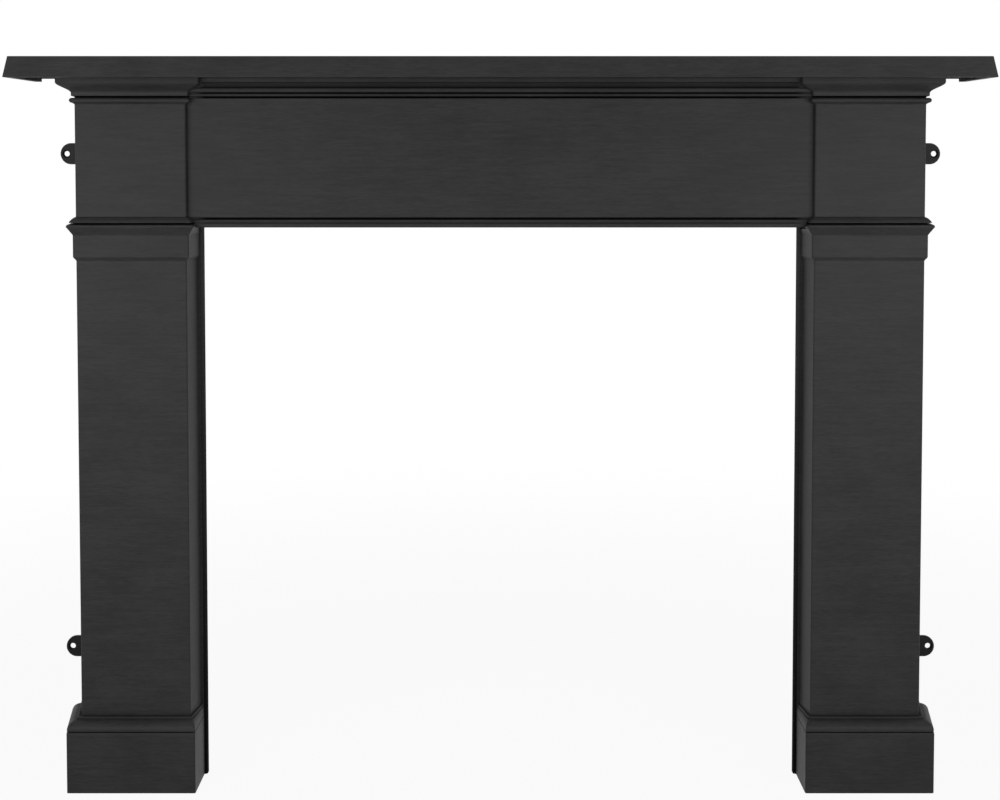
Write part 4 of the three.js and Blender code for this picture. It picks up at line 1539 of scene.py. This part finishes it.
M10 = BoltSize(shank=5.0, across=16.0, head=6.4, washer_radius=10.0, washer=2.0, pitch=1.5)
M8 = BoltSize(shank=4.0, across=13.0, head=5.3, washer_radius=8.0, washer=1.6, pitch=1.25)


@dataclass
class Fastener:
    """A bolt or set screw with its washer, seated on a face."""

    size: BoltSize
    seat: Point
    heading: Heading
    grip: float
    node: str
    kind: str = "bolt"
    joint: float = 0.3

    def build(self, dressing: Dressing) -> None:
        """Makes the bolt and the washer and puts them on the frame."""
        axes, under_head = np.array(self.heading.value), self.size.under_head(self.joint)
        bolt = self.size.bolt(self.grip + under_head) - (0, 0, under_head)
        washer = self.size.ring(self.joint) - (0, 0, self.size.washer + self.joint)
        for kind, rings, looped in ((self.kind, bolt, False), ("washer", washer, True)):
            name = f"{self.node}_{kind}"
            thing = machined(f"{name}_zinc", lofted(rings @ axes + self.seat, looped))
            dressing.dress(thing, name, (ZINC,))


@dataclass
class Fasteners:
    """Every bolt and screw of the surround."""

    leg: Leg
    layout: Layout = Layout()
    shelf_grip: float = 13.0
    header_grip: float = 15.0

    def of(self, hand: Hand) -> list[Fastener]:
        """One side's shelf bolts, header bolts and lug screws."""
        layout, lug, pad, side = self.layout, self.leg.lug, self.leg.pad_thickness, hand.value
        flange, joint = layout.flange, layout.joint
        outwards = Heading.RIGHT if hand is Hand.RIGHT else Heading.LEFT
        made = []
        for casting, x in layout.shelf_bolt_xs.items():
            seat = (side * x, layout.shelf_bolt_y, layout.flange_foot_z)
            node = f"{hand.label}_{casting}_shelf"
            made.append(Fastener(M10, seat, Heading.UP, flange + self.shelf_grip, node))
        for level, z in layout.header_bolt_zs.items():
            seat = (side * (layout.inner_x - joint - flange), layout.header_bolt_y, z)
            grip = flange + joint + self.header_grip
            made.append(Fastener(M10, seat, outwards, grip, f"{hand.label}_{level}_header"))
        for level, z in layout.lug_zs.items():
            seat = (side * lug.screw_x, layout.back_y - lug.thickness - joint - pad, z)
            node = f"{hand.label}_{level}_lug"
            made.append(Fastener(M8, seat, Heading.BACK, pad + lug.thickness, node, "screw"))
        return made

    def build(self, dressing: Dressing) -> None:
        """Makes every fastener and puts it on the frame."""
        for hand in Hand:
            for fastener in self.of(hand):
                fastener.build(dressing)


# ---- Studio ----


@dataclass(frozen=True)
class Softbox:
    """A pair of large soft lamps, given for the right-hand side. Places are in metres."""

    name: str
    place: Point
    aim: Point
    size: tuple[float, float]
    power: float

    def build(self, hand: Hand) -> None:
        """Hangs one side's lamp and turns it to its aim."""
        name = f"{self.name}_{hand.label}"
        lamp = bpy.data.lights.new(name, "AREA")
        lamp.shape = "RECTANGLE"
        lamp.size, lamp.size_y = self.size
        lamp.energy = self.power
        thing = linked(name, lamp)
        side = Vector((hand.value, 1.0, 1.0))
        thing.location = side * Vector(self.place)
        way = side * (Vector(self.aim) - Vector(self.place))
        thing.rotation_euler = way.to_track_quat("-Z", "Y").to_euler()
        thing.visible_camera = False


@dataclass(frozen=True)
class Studio:
    """The pale floor, the white surroundings, the lamps and the camera. Places are in metres."""

    lens: float = 66.086
    sensor: float = 36.0
    camera_place: Point = (-0.0006, -2.9655, 1.0557)
    pitch: float = 3.0
    shift: float = -0.155
    floor_side: float = 16.0
    floor_colour: float = 0.5
    floor_glow: float = 0.94
    glow_near: float = 1.0
    glow_far: float = 3.5
    ambient: float = 0.09
    softboxes: tuple[Softbox, ...] = (
        Softbox("front", (1.2, -1.5, 0.95), (0.9, 0.0, 0.95), (1.3, 0.7), 18.0),
        Softbox("side", (2.6, -0.2, 1.3), (0.0, 0.0, 0.7), (1.2, 1.8), 8.0),
    )

    def camera(self) -> None:
        """Stands the camera where the photograph was taken from."""
        made = bpy.data.cameras.new("camera")
        made.lens, made.shift_y, made.sensor_width = self.lens, self.shift, self.sensor
        thing = linked("camera", made)
        thing.location = self.camera_place
        thing.rotation_euler = (math.radians(90 - self.pitch), 0.0, 0.0)
        bpy.context.scene.camera = thing

    def floor(self) -> None:
        """A plain pale floor that the camera sees nearly white, with the surround's shadow."""
        half = self.floor_side / 2
        corners = [(-half, -half, 0), (half, -half, 0), (half, half, 0), (-half, half, 0)]
        mesh = bpy.data.meshes.new("floor")
        mesh.from_pydata(corners, [], [(0, 1, 2, 3)])
        material = bpy.data.materials.new("floor")
        web = Web(material)
        here = web.node("TexCoord").outputs["Object"]
        reach = web.node("VectorMath", {"operation": "LENGTH"}, {0: here}).outputs["Value"]
        far = web.ramp(reach, self.glow_near, self.glow_far)
        seen = web.shown() * (self.floor_glow + far * (1 - self.floor_glow))
        matt = web.node("BsdfDiffuse", inputs={"Color": grey(self.floor_colour)})
        glow = web.node("Emission", inputs={"Color": grey(1.0), "Strength": 1.0})
        inputs = {0: seen, 1: matt.outputs[0], 2: glow.outputs[0]}
        web.finish(web.node("MixShader", inputs=inputs))
        mesh.materials.append(material)
        linked("floor", mesh)

    def world(self) -> None:
        """Even light all round, which the camera sees as white."""
        made = bpy.data.worlds.new("studio")
        bpy.context.scene.world = made
        web = Web(made)
        strength = self.ambient + web.shown() * (1 - self.ambient)
        inputs = {"Color": grey(1.0), "Strength": strength}
        web.finish(web.node("Background", inputs=inputs), "World")

    def build(self) -> None:
        """Sets up everything round the surround."""
        self.camera()
        self.floor()
        self.world()
        for softbox in self.softboxes:
            for hand in Hand:
                softbox.build(hand)
        bpy.context.scene.view_settings.view_transform = "Standard"


# ---- The whole surround ----


def main() -> None:
    """Builds the studio, then each piece of the surround in order."""
    logging.basicConfig(level=logging.INFO, format="%(message)s")
    dressing = Dressing()
    Studio().build()
    leg = Leg()
    for hand in Hand:
        leg.build(hand, dressing)
        for level, z in leg.layout.lug_zs.items():
            leg.lug.build(hand, level, z, dressing)
    Header(leg).build(dressing)
    Shelf().build(dressing)
    Fasteners(leg).build(dressing)


if __name__ == "__main__":
    main()
